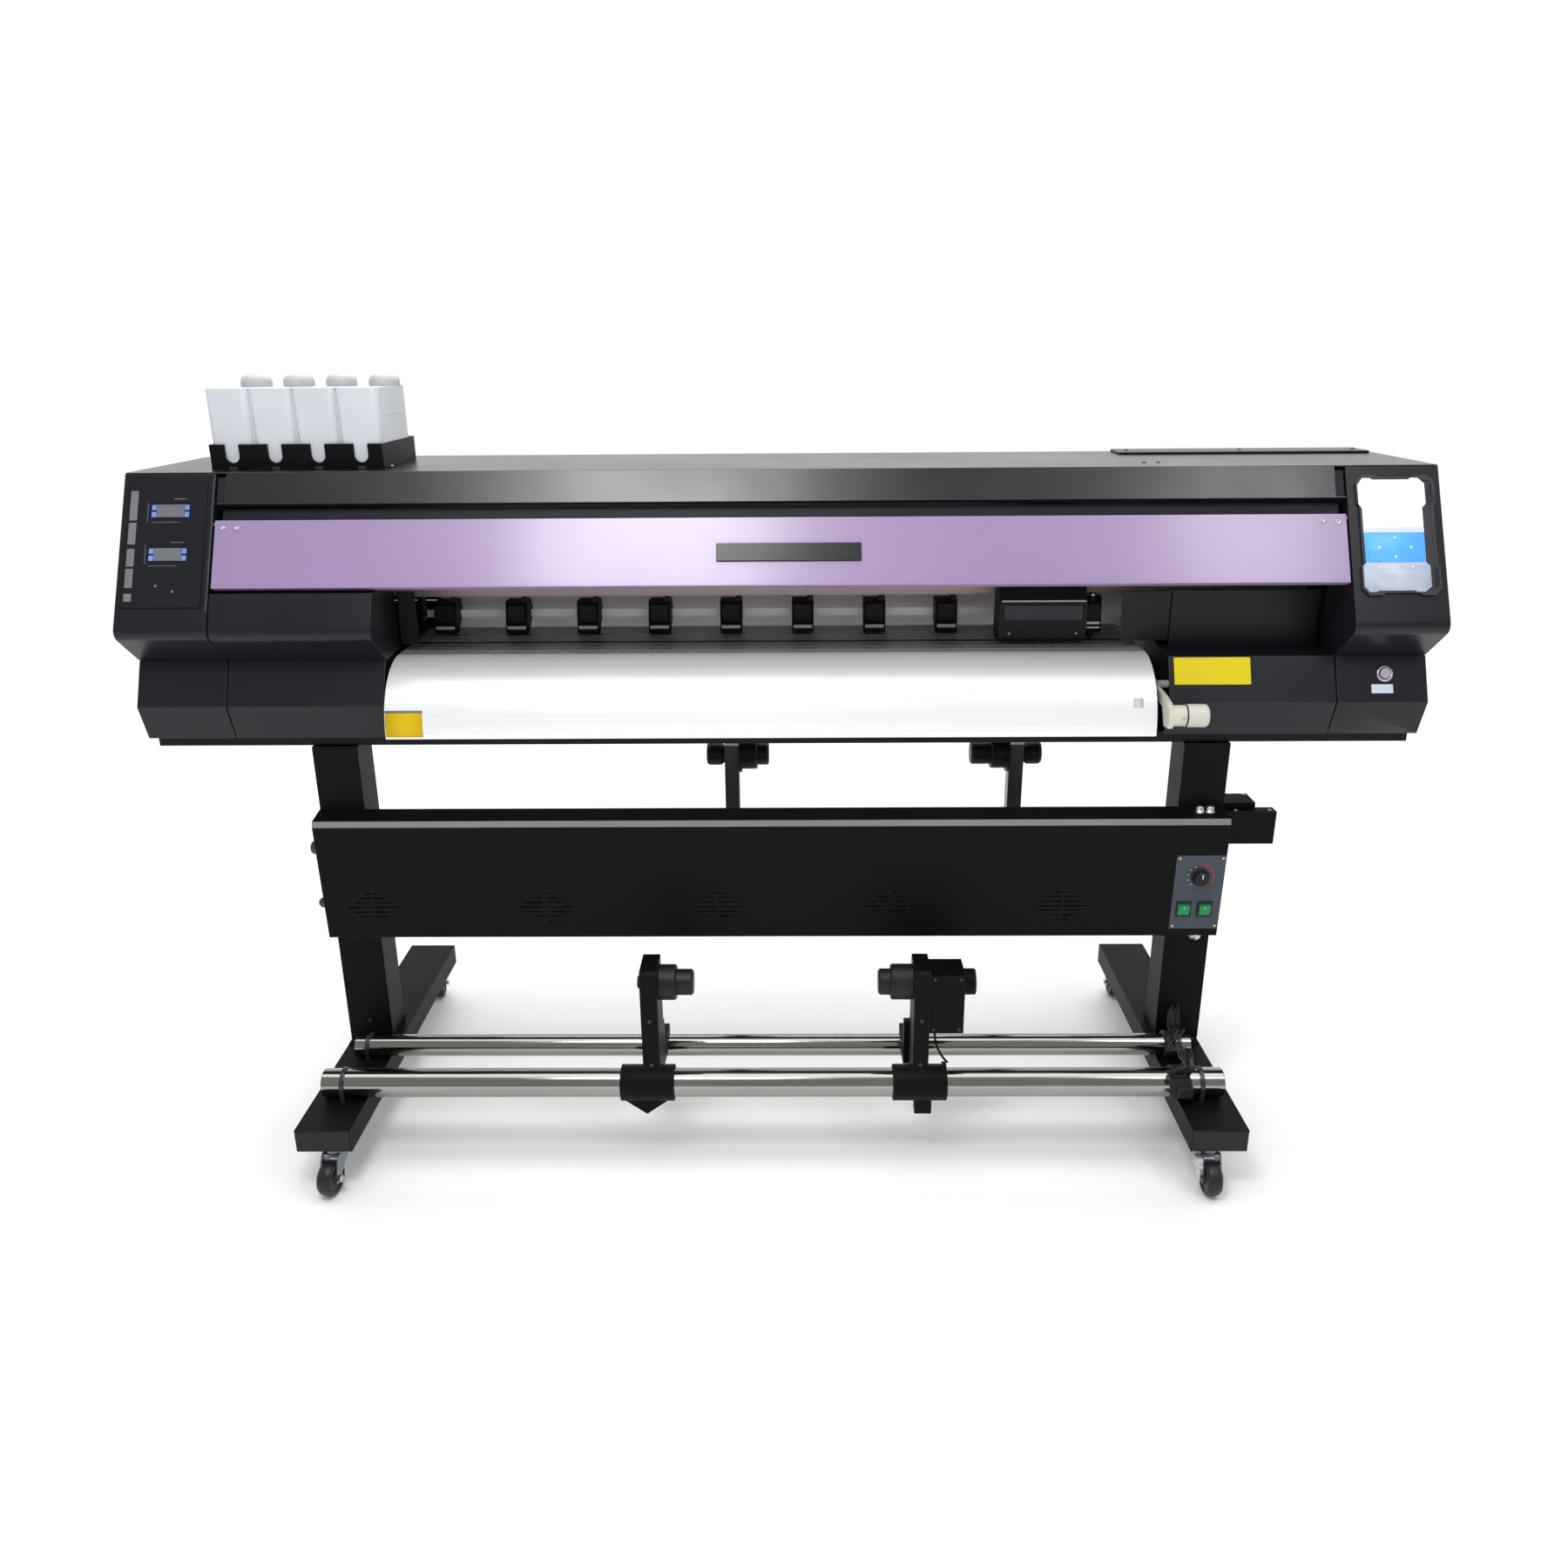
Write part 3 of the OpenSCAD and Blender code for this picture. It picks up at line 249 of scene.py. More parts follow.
# Painted glow: the thermostat keys hold no lamp
KEY_BLUE_PAINTED_GLOW = glow("key_blue_painted_glow", (0.12, 0.22, 0.58), 0.16)


CORNERS = [(end, side) for end in ("front", "rear") for side in ("left", "right")]


def both(*parts):
    """The names of the left and right one of each part."""
    return [f"{side}_{part}" for part in parts for side in ("left", "right")]


LOOKS = {
    ROOF: ["roof_cover"],
    PAINT: [*both("foot", "leg"), "stand_crossbeam", "dryer_housing", "junction_box", "takeup_left_arm",
            "takeup_right_arm", "takeup_motor", "ink_rack", "pinch_arms"],
    PLASTIC: [*both("tower_cover", "lower_covers"), "left_media_cover"],
    PLASTIC_COARSE: ["carriage_cover", "dryer_knob"],
    DARK: ["base_frame", "carriage_motor", "cutter_holder", "capping_station", "carriage_base"],
    STEEL: ["supply_rail_frame", "grit_roller"],
    DARK_STEEL: ["stand_fasteners"],
    SATIN_ARM: ["supply_left_arm", "supply_right_arm"],
    CHROME: ["takeup_rails"],
    RUBBER: ["takeup_left_hub", "takeup_right_hub", "supply_left_hub", "supply_right_hub", "pinch_rollers"],
    BEAM: ["gantry_beam"],
    PLATEN: ["print_platen"],
    SILVER: ["front_platen"],
    VIOLET: ["front_cover"],
    CREAM: ["pinch_lever"],
    MILKY: ["ink_tanks"],
    CAP: [f"ink_cap_{i}" for i in (1, 2, 3, 4)],
    BUTTON: ["power_button"],
    GREEN: ["dryer_left_rocker", "dryer_right_rocker"],
    PANEL: ["left_control_panel"],
    BEZEL: ["right_control_panel"],
    PLATE: ["dryer_switch_plate"],
    FORK: [f"caster_fork_{end}_{side}" for end, side in CORNERS],
    TREAD: [f"caster_wheel_{end}_{side}" for end, side in CORNERS],
}

# Widths of the rounded edges, in millimetres
EDGE_WIDTH = {name: width for width, names in {
    0.5: ["dryer_switch_plate", "left_control_panel"],
    0.8: ["right_control_panel"],
    1.0: ["ink_rack", "takeup_left_arm", "takeup_right_arm", "takeup_motor", "supply_left_arm",
          "supply_right_arm"],
    1.2: ["roof_cover", *both("lower_covers", "foot", "leg"), "carriage_cover"],
    1.4: [*both("tower_cover"), "left_media_cover"],
    1.5: ["junction_box"],
    2.5: ["front_cover"],
    3.5: ["ink_tanks"],
}.items() for name in names}


def round_edges(thing, width, harden):
    """Rounds the sharp edges of a piece without touching its mesh."""
    bevel = thing.modifiers.new("edges", "BEVEL")
    bevel.width = width
    bevel.segments = 2
    bevel.limit_method = "ANGLE"
    bevel.angle_limit = SHARP
    bevel.harden_normals = harden


for material, names in LOOKS.items():
    for node_name in names:
        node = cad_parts[node_name]
        node.data.materials.clear()
        node.data.materials.append(material)
        if node_name in EDGE_WIDTH:
            weld = node.modifiers.new("weld", "WELD")
            weld.merge_threshold = 0.01 * MM
            round_edges(node, EDGE_WIDTH[node_name] * MM, harden=False)


# ---------------- piece makers

def add(name, mesh, material, body=ROOT, edge=0.0):
    """Puts a mesh in the scene as one piece that rides on a body."""
    thing = placed(name, mesh)
    mesh.materials.append(material)
    for face in mesh.polygons:
        face.use_smooth = True
    if edge:
        round_edges(thing, edge, harden=True)
    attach(thing, body)
    return thing


def mesh_of(name, build):
    """A mesh that build fills in, with its faces turned outwards."""
    mesh = bpy.data.meshes.new(name)
    bm = bmesh.new()
    build(bm)
    bmesh.ops.recalc_face_normals(bm, faces=bm.faces)
    bm.to_mesh(mesh)
    bm.free()
    return mesh


def brick(bm, low, high, place=Matrix()):
    """A box between two corners, in the given place."""
    size = [b - a for a, b in zip(low, high)]
    middle = [(a + b) / 2 for a, b in zip(low, high)]
    shape = place @ Matrix.Translation(middle) @ Matrix.Diagonal((*size, 1.0))
    bmesh.ops.create_cube(bm, size=1.0, matrix=shape)


def blocks(name, boxes, material, place=Matrix(), body=ROOT, edge=0.0006):
    """Several bevelled boxes as one piece."""
    mesh = mesh_of(name, lambda bm: [brick(bm, low, high, place) for low, high in boxes])
    return add(name, mesh, material, body, edge)


def bricks_at(name, low, high, places, material, body=ROOT, edge=0.0):
    """The same bevelled box at several places, as one piece."""
    mesh = mesh_of(name, lambda bm: [brick(bm, low, high, p) for p in places])
    return add(name, mesh, material, body, edge)


def turned(bm, profile, place, steps):
    """A shape turned on a lathe about its own Z; the profile is (radius, height) pairs."""
    rings = []
    for radius, height in profile:
        if radius < 1e-6:
            rings.append([bm.verts.new(place @ Vector((0, 0, height)))])
            continue
        ring = []
        for i in range(steps):
            a = 2 * math.pi * i / steps
            ring.append(bm.verts.new(place @ Vector((radius * math.cos(a), radius * math.sin(a), height))))
        rings.append(ring)
    for low, high in zip(rings, rings[1:]):
        for i in range(steps):
            j = (i + 1) % steps
            corners = [low[i % len(low)], low[j % len(low)], high[j % len(high)], high[i % len(high)]]
            unique = list(dict.fromkeys(corners))
            if len(unique) > 2:
                bm.faces.new(unique)


def lathes(name, profile, places, material, body=ROOT, steps=48):
    """The same turned shape at several places, as one piece."""
    mesh = mesh_of(name, lambda bm: [turned(bm, profile, p, steps) for p in places])
    return add(name, mesh, material, body)


def swept(bm, points, radius, sides):
    """A round tube along points."""
    rings = []
    previous = None
    for i, point in enumerate(points):
        ahead = (points[min(i + 1, len(points) - 1)] - points[max(i - 1, 0)]).normalized()
        if previous is None:
            normal = ahead.orthogonal().normalized()
        else:
            normal = (previous - ahead * previous.dot(ahead)).normalized()
        previous = normal
        other = ahead.cross(normal)
        rings.append([bm.verts.new(point + radius * (math.cos(a) * normal + math.sin(a) * other))
                      for a in (2 * math.pi * k / sides for k in range(sides))])
    for low, high in zip(rings, rings[1:]):
        for k in range(sides):
            bm.faces.new((low[k], low[(k + 1) % sides], high[(k + 1) % sides], high[k]))
    bm.faces.new(rings[0][::-1])
    bm.faces.new(rings[-1])


def smooth_path(points, steps=8):
    """Points along a Catmull-Rom curve through the given points."""
    pts = [Vector(p) for p in points]
    pts = [pts[0] * 2 - pts[1]] + pts + [pts[-1] * 2 - pts[-2]]
    out = []
    for a, b, c, d in zip(pts, pts[1:], pts[2:], pts[3:]):
        for i in range(steps):
            t = i / steps
            square, cube = 2 * a - 5 * b + 4 * c - d, 3 * b - a - 3 * c + d
            out.append(0.5 * (2 * b + (c - a) * t + square * t * t + cube * t ** 3))
    return out + [pts[-2]]


def tube(name, path, radius, material, sides=10):
    return add(name, mesh_of(name, lambda bm: swept(bm, path, radius, sides)), material)


def facing(x, y, z, direction):
    """A place at a point, with its own Z along a direction."""
    return Matrix.Translation((x, y, z)) @ Vector(direction).to_track_quat("Z", "Y").to_matrix().to_4x4()


def screw_profile(radius, height):
    """A domed head with a round recess."""
    return [(0, 0), (radius, 0), (radius, height * 0.4), (radius * 0.8, height * 0.85),
            (radius * 0.4, height), (radius * 0.36, height * 0.55), (0, height * 0.55)]


def screws(name, radius, height, places, material, body=ROOT, steps=20):
    return lathes(name, screw_profile(radius, height), places, material, body, steps)


def tilted(y, z, degrees):
    """A frame on the plane X = 0, tipped about X."""
    return Matrix.Translation((0, y, z)) @ Matrix.Rotation(math.radians(degrees), 4, "X")


def on(face, x, y, z):
    """A place on a sloping face, with its own Z straight out of it."""
    return face @ Matrix.Translation((x, y, z)) @ OUT


# Frames of the sloping faces: own X along the machine, own Z up the face, own -Y outwards.
# OUT turns a shape's own Z that way.
SLOPE = tilted(0.016, 1.454, -27.948)
LOWER = tilted(-0.062, 1.071, -25.29)
DRYER = tilted(-0.118, 0.711, 2.757)
OUT = Matrix.Rotation(math.radians(90), 4, "X")

# Places of the CAD's parts that the trim follows, in metres
STAND_X = -0.022
FOOT_OUT, LEG_OUT, CASTER_OUT = 0.9365, 0.9465, 0.9265    # from the stand's centre
FRONT_RAIL, REAR_RAIL = (-0.295, 0.184), (-0.13, 0.178)   # take-up rails, [Y, Z]
HUB_AXIS = (-0.262, 0.411)                                # take-up hubs, [Y, Z]
LEVER_Y, LEVER_Z = -0.156, 0.968                          # barrel of the pinch lever
CURVE_Y, CURVE_Z, CURVE_R = 0.012, 0.922, 0.143           # round stretch of the front platen
LABEL_X = (-0.829, -0.75)                                 # orange label on it
PLATEN_TOP = 1.065
PINCH_X, PINCH_PITCH, PINCH_COUNT = -0.775, 0.1654, 10
TANK_X, TANK_PITCH, TANK_COUNT = -1.153, 0.091, 4
DRYER_TOP = 0.711
KNOB_X, KNOB_UP = 0.921, 0.588 - DRYER_TOP
KNOB = DRYER @ Matrix.Translation((KNOB_X, -0.0023, KNOB_UP))
ROCKERS = {"left": 0.893, "right": 0.939}
ROCKER_UP = 0.509 - DRYER_TOP


# ---------------- stage and light

def make_stage():
    half_floor = 14.0
    mesh = mesh_of("floor", lambda bm: bmesh.ops.create_grid(bm, x_segments=4, y_segments=4, size=half_floor))
    floor = placed("floor", mesh)
    mesh.materials.append(finish("pale_floor", (0.93, 0.93, 0.935), 0.7, vary=0.015, cloud=0.6, grain=60,
                                 bump=0.01))


def area_light(name, place, target, size_x, size_y, power):
    data = bpy.data.lights.new(name, "AREA")
    data.shape = "RECTANGLE"
    data.size, data.size_y = size_x, size_y
    data.energy = power
    light = placed(name, data)
    aim = Vector(target) - Vector(place)
    light.matrix_world = Matrix.Translation(place) @ aim.to_track_quat("-Z", "Y").to_matrix().to_4x4()
    return light


def make_light():
    """A room brighter behind the machine than behind the camera, soft boxes and a soft sky."""
    bpy.context.scene.view_settings.view_transform = "Standard"
    world = bpy.data.worlds.new("studio")
    bpy.context.scene.world = world
    world.use_nodes = True
    tree = world.node_tree
    coords = tree.nodes.new("ShaderNodeTexCoord")
    split = tree.nodes.new("ShaderNodeSeparateXYZ")
    spread = new_node(tree, "ShaderNodeMapRange", From_Min=-0.2, From_Max=0.35, To_Min=0.42, To_Max=1.0)
    tree.links.new(coords.outputs["Generated"], split.inputs["Vector"])
    tree.links.new(split.outputs["Y"], spread.inputs["Value"])
    tree.links.new(spread.outputs["Result"], tree.nodes["Background"].inputs["Strength"])
    tree.nodes["Background"].inputs["Color"].default_value = (1.0, 1.0, 1.0, 1.0)
    area_light("soft_box_left", (-0.55, -1.75, 3.35), (-0.2, 0.0, 1.35), 1.0, 0.9, 42)
    area_light("soft_box_right", (1.85, -1.75, 3.3), (1.1, 0.0, 1.35), 0.5, 0.9, 13)
    fill = area_light("low_front", (0.3, -4.2, 1.0), (0.0, 0.0, 0.8), 3.4, 0.9, 26)
    fill.visible_glossy = False
    area_light("top_back", (0.0, 2.2, 3.4), (0.0, 0.2, 1.2), 4.0, 1.4, 34)
    sky = bpy.data.lights.new("soft_sky", "SUN")
    sky.energy = 1.25
    sky.angle = 1.0
    sky_lamp = placed("soft_sky", sky)
    sky_lamp.matrix_world = tilted(0, 5.0, -8)


make_stage()
make_light()


# ---------------- control panels

def left_panel_details():
    """Two dryer temperature modules, short scale lines and a column of indicators."""
    skin = -0.0009
    lcds, keys, lines = [], [], []
    for top in (-0.066, -0.16):
        lcds.append(((-1.2865, -0.0035, top - 0.032), (-1.2285, skin, top - 0.005)))
        for x in (-1.296, -1.2275):
            for down in (0.007, 0.022):
                keys.append(((x, -0.0045, top - down - 0.01), (x + 0.009, skin, top - down + 0.001)))
        lines.append(((-1.252, -0.0033, top + 0.0065), (-1.226, -0.0021, top + 0.008)))
        lines.append(((-1.296, -0.0033, top - 0.0435), (-1.238, -0.0021, top - 0.0425)))
    blocks("thermostat_displays", lcds, LCD, SLOPE, edge=0.0005)
    blocks("thermostat_keys", keys, KEY_BLUE_PAINTED_GLOW, SLOPE, edge=0.0008)
    blocks("panel_lines", lines, GREY, SLOPE, edge=0.0002)
    spans = ((-0.041, -0.105), (-0.11, -0.157), (-0.166, -0.204), (-0.209, -0.25), (-0.262, -0.279))
    bars = [((-1.342, -0.004, low), (-1.326, -0.0021, high)) for high, low in spans]
    blocks("panel_indicators", bars, GREY, SLOPE, edge=0.0012)
    dots = [on(SLOPE, x, -0.0021, z) for x, z in ((-1.278, -0.246), (-1.242, -0.258))]
    lathes("panel_lamps", [(0, 0), (0.0028, 0), (0.0028, 0.0012), (0.0015, 0.0022), (0, 0.0024)], dots, GREY,
           steps=16)
    left, right, bottom, top, wide = -1.35, -1.184, -0.292, -0.02, 0.0025
    sides = ((left, top - wide, right, top), (left, bottom, right, bottom + wide),
             (left, bottom, left + wide, top), (right - wide, bottom, right, top))
    rim = [((x0, -0.0036, z0), (x1, -0.0018, z1)) for x0, z0, x1, z1 in sides]
    blocks("left_panel_rim", rim, DARK, SLOPE, edge=0.0005)
    # Pale strip painted as the highlight along the edge of the tower's cover where it meets the band
    trim = [((-1.1745, -0.001, -0.3), (-1.1705, 0.002, -0.004))]
    blocks("tower_edge_painted_highlight", trim, BEZEL, SLOPE, edge=0.0008)


def face_plate(bm, outline, y0, y1):
    """A thin plate with an [X, Z] outline between two depths."""
    front = [bm.verts.new((x, y0, z)) for x, z in outline]
    back = [bm.verts.new((x, y1, z)) for x, z in outline]
    bm.faces.new(front)
    bm.faces.new(back[::-1])
    for i in range(len(outline)):
        j = (i + 1) % len(outline)
        bm.faces.new((front[i], back[i], back[j], front[j]))


def right_panel_details():
    """Display, keypad and lower field inside the bezel, with plain dots for keys."""
    display = [(1.189, -0.046), (1.199, -0.032), (1.214, -0.032), (1.219, -0.0355), (1.292, -0.0355),
               (1.297, -0.032), (1.312, -0.032), (1.3245, -0.044), (1.3245, -0.087), (1.3165, -0.096),
               (1.3165, -0.148), (1.195, -0.148), (1.195, -0.096), (1.189, -0.087)]
    keypad = [(1.195, -0.148), (1.3165, -0.148), (1.3165, -0.212), (1.195, -0.212)]
    lower = [(1.195, -0.212), (1.3165, -0.212), (1.324, -0.219), (1.324, -0.262), (1.311, -0.2735),
             (1.295, -0.2735), (1.29, -0.2705), (1.218, -0.2705), (1.213, -0.2735), (1.199, -0.2735),
             (1.189, -0.262), (1.189, -0.219)]
    for name, outline, material in (("panel_display", display, SCREEN), ("panel_keypad", keypad, KEYPAD_PAINTED_GLOW),
                                    ("panel_lower_field", lower, LOWER_PAD_PAINTED_GLOW)):
        mesh = mesh_of(name, lambda bm: face_plate(bm, outline, -0.0078, -0.0062))
        mesh.transform(SLOPE)
        add(name, mesh, material)
    blocks("panel_display_shade", [((1.196, -0.0081, -0.1478), (1.3155, -0.0077, -0.137))], WHITE, SLOPE,
           edge=0.0002)
    left, middle, right = 1.224, 1.256, 1.288
    spots = [(middle, -0.16), (left, -0.18), (right, -0.18), (middle, -0.2), (left, -0.222), (right, -0.222)]
    places = [on(SLOPE, x, -0.0078, z) for x, z in spots]
    lathes("keypad_marks", [(0, 0), (0.0032, 0), (0.0032, 0.001), (0.002, 0.0016), (0, 0.0017)], places,
           WHITE, steps=20)
    # Grips that stand out along the bezel's right side
    grips = [((1.333, -0.0085, z - 0.02), (1.34, -0.005, z + 0.02)) for z in (-0.062, -0.242)]
    blocks("bezel_grips", grips, PLASTIC, SLOPE, edge=0.0015)


left_panel_details()
right_panel_details()


# ---------------- covers

def cover_details():
    """Painted shade in the gap and at the band's ends, trim of the sloping covers and the roof, the plain
    labels and the button's ring.
    """
    # Dark sheets painted as shade: one behind the gap above the cover, and two on the shadowed ends of the
    # roof's band
    blocks("gap_painted_shade", [((-1.16, 0.022, -0.124), (1.16, 0.024, -0.072))], PAINTED_GAP_SHADE, SLOPE, edge=0.0004)
    ends = [((x, 0.007, -0.0695), (x + 0.018, 0.0095, -0.008)) for x in (-1.168, 1.15)]
    blocks("band_end_painted_shade", ends, PAINTED_GAP_SHADE, SLOPE, edge=0.0004)
    # Plain nameplate on the front cover
    blocks("nameplate", [((-0.1265, -0.0012, -0.1985), (0.1715, 0.0034, -0.16))], PANEL, SLOPE,
           body="front_cover_body", edge=0.0012)
    spots = [on(SLOPE, x, 0.0028, z) for x, z in ((-1.15, -0.121), (-1.12, -0.121), (1.118, -0.119),
                                                  (1.15, -0.121))]
    screws("front_cover_screws", 0.0055, 0.0022, spots, STEEL, body="front_cover_body", steps=24)
    # Rolled lower lip of the front cover
    blocks("front_cover_lip", [((-1.166, 0.001, -0.2505), (1.166, 0.018, -0.2475))], VIOLET, SLOPE,
           body="front_cover_body", edge=0.0012)
    # Service plate on the roof with its screws
    blocks("roof_service_plate", [((0.774, 0.3, 1.4535), (1.342, 0.392, 1.46))], PLASTIC, edge=0.003)
    roof, plate = 1.4538, 1.4598
    spots = [facing(x, y, z, UP) for x, y, z in ((0.778, 0.1, roof), (0.808, 0.1, roof), (0.8, 0.345, plate),
                                                 (1.06, 0.345, plate), (1.32, 0.345, plate))]
    screws("roof_plate_screws", 0.005, 0.0025, spots, DARK_STEEL)
    # Plain labels
    blocks("yellow_label_cover", [((0.832, -0.0012, -0.061), (0.992, 0.0006, -0.003))], YELLOW, LOWER,
           edge=0.0003)
    blocks("button_label", [((1.243, -0.0014, -0.081), (1.288, 0.0006, -0.062))], WHITE, LOWER, edge=0.0005)
    # Bezel ring of the power button
    button = on(LOWER, 1.271, 0.0, -0.0398)
    lathes("button_ring", [(0.0125, 0.0035), (0.0125, 0.0055), (0.0145, 0.0062), (0.017, 0.005),
                           (0.0178, 0.001), (0.0178, -0.0005), (0.0125, -0.0005), (0.0125, 0.0035)], [button],
           STEEL)


def outline_slab(name, x0, x1, outline, material):
    """A piece with a [Y, Z] outline between two X stations."""
    def build(bm):
        ends = [[bm.verts.new((x, y, z)) for y, z in outline] for x in (x0, x1)]
        bm.faces.new(ends[0])
        bm.faces.new(ends[1][::-1])
        for i in range(len(outline)):
            j = (i + 1) % len(outline)
            bm.faces.new((ends[0][i], ends[0][j], ends[1][j], ends[1][i]))
    add(name, mesh_of(name, build), material)


def seam_details():
    """Backing behind the lower covers' seams, and the seams, screws, louvres and inlet of the rear."""
    inside = [(-0.057, 1.067), (-0.101, 0.981), (-0.0735, 0.906), (0.04, 0.906), (0.04, 1.067)]
    outline_slab("seam_backing_left", -1.1745, -1.1655, inside, DARK)
    outline_slab("seam_backing_right", 1.1655, 1.1745, inside, DARK)
    seams = [((x - 0.0015, 0.3995, 1.115), (x + 0.0015, 0.4012, 1.448)) for x in (-0.9, -0.3, 0.3, 0.9)]
    blocks("rear_panel_seams", seams, PANEL, edge=0.0003)
    screw_x = (-1.33, -0.93, -0.87, -0.33, -0.27, 0.27, 0.33, 0.87, 0.93, 1.33)
    spots = [facing(x, 0.3998, z, BACK) for x in screw_x for z in (1.135, 1.43)]
    screws("rear_panel_screws", 0.0055, 0.0026, spots, STEEL)
    first, pitch, count = 1.18, 0.022, 9
    louvres = [((x - 0.07, 0.398, first + pitch * k), (x + 0.07, 0.4045, first + pitch * k + 0.006))
               for x in (-1.25, 1.25) for k in range(count)]
    blocks("rear_louvres", louvres, PLASTIC, edge=0.0012)
    # Mains inlet low on the rear of the right tower
    inlet = [((1.23, 0.3935, 0.945), (1.286, 0.4035, 0.985)), ((1.236, 0.4025, 0.951), (1.28, 0.405, 0.979))]
    blocks("mains_inlet", inlet, PANEL, edge=0.0012)
    pins = [facing(x, 0.4045, z, BACK) for x, z in ((1.247, 0.962), (1.269, 0.962), (1.258, 0.97))]
    lathes("mains_inlet_pins", [(0, 0), (0.0022, 0), (0.0022, 0.0022), (0.001, 0.003), (0, 0.003)], pins,
           STEEL, steps=12)


cover_details()
seam_details()


# ---------------- media path

def platen_details():
    """Ruled lines, cutter strip, scale and vacuum holes of the print platen."""
    left, right = -0.828, 0.789
    ridges = [((left, y - 0.0008, PLATEN_TOP - 0.0005), (right, y + 0.0008, PLATEN_TOP + 0.0006))
              for y in (0.04, 0.075, 0.11, 0.145, 0.18, 0.24, 0.265)]
    blocks("platen_ruled_lines", ridges, PLATEN, edge=0.0003)
    strip = [((left + 0.002, 0.116, PLATEN_TOP - 0.0006), (right - 0.002, 0.13, PLATEN_TOP + 0.0009))]
    blocks("platen_cutter_strip", strip, RUBBER, edge=0.0004)
    first, tick_pitch, hole_pitch = -0.8, 0.02, 0.04
    ticks = []
    for k in range(80):
        x = first + tick_pitch * k
        back = 0.036 if k % 5 == 0 else 0.03
        ticks.append(((x - 0.0006, 0.02, PLATEN_TOP - 0.0002), (x + 0.0006, back, PLATEN_TOP + 0.0006)))
    blocks("platen_scale", ticks, GREY, edge=0.0001)
    holes = [facing(first + hole_pitch * i, y, PLATEN_TOP + 0.00005, UP) for i in range(40)
             for y in (0.058, 0.16)]
    lathes("vacuum_holes", [(0, 0.0001), (0.0013, 0.0001), (0.0021, 0.0005), (0.0026, 0.0001),
                            (0.0026, -0.0004)], holes, RUBBER, steps=12)


def curved_label(name, x0, x1, from_angle, to_angle, material, slot):
    """A thin label round the front platen's curve; 0 degrees is straight forwards and 90 the crest."""
    def build(bm):
        steps, sunk, proud = 10, 0.0002, 0.0005
        grid = []
        for radius in (CURVE_R - sunk, CURVE_R + proud):
            rows = []
            for i in range(steps + 1):
                a = math.radians(from_angle + (to_angle - from_angle) * i / steps)
                y, z = CURVE_Y - radius * math.cos(a), CURVE_Z + radius * math.sin(a)
                rows.append([bm.verts.new((x, y, z)) for x in (x0, x1)])
            grid.append(rows)
        inner, outer = grid
        for i in range(steps):
            bm.faces.new((outer[i][0], outer[i][1], outer[i + 1][1], outer[i + 1][0]))
            bm.faces.new((inner[i][1], inner[i][0], inner[i + 1][0], inner[i + 1][1]))
            for k in (0, 1):
                bm.faces.new((inner[i][k], outer[i][k], outer[i + 1][k], inner[i + 1][k]))
        for i in (0, steps):
            bm.faces.new((inner[i][0], inner[i][1], outer[i][1], outer[i][0]))
    add(name, mesh_of(name, build), material)


def pinch_block_details():
    """Pale bar, tab, face and two screws on each pinch block."""
    bars, tabs, spots, caps = [], [], [], []
    for i in range(PINCH_COUNT):
        x = PINCH_X + PINCH_PITCH * i
        bars.append(((x - 0.0215, 0.1985, 1.0785), (x + 0.0215, 0.2065, 1.086)))
        tabs.append(((x + 0.01, 0.214, 1.1395), (x + 0.024, 0.236, 1.148)))
        caps.append(((x - 0.02, 0.203, 1.095), (x + 0.02, 0.2075, 1.133)))
        for dx in (-0.012, 0.012):
            spots.append(facing(x + dx, 0.204, 1.112, (0, -1, 0.1)))
    blocks("pinch_block_bars", bars, PALE_GREY, body="pinch_arms_body", edge=0.001)
    blocks("pinch_block_tabs", tabs, PLASTIC_COARSE, body="pinch_arms_body", edge=0.0015)
    blocks("pinch_block_faces", caps, PLASTIC_COARSE, body="pinch_arms_body", edge=0.0015)
    screws("pinch_block_screws", 0.0028, 0.002, spots, DARK_STEEL, body="pinch_arms_body", steps=16)


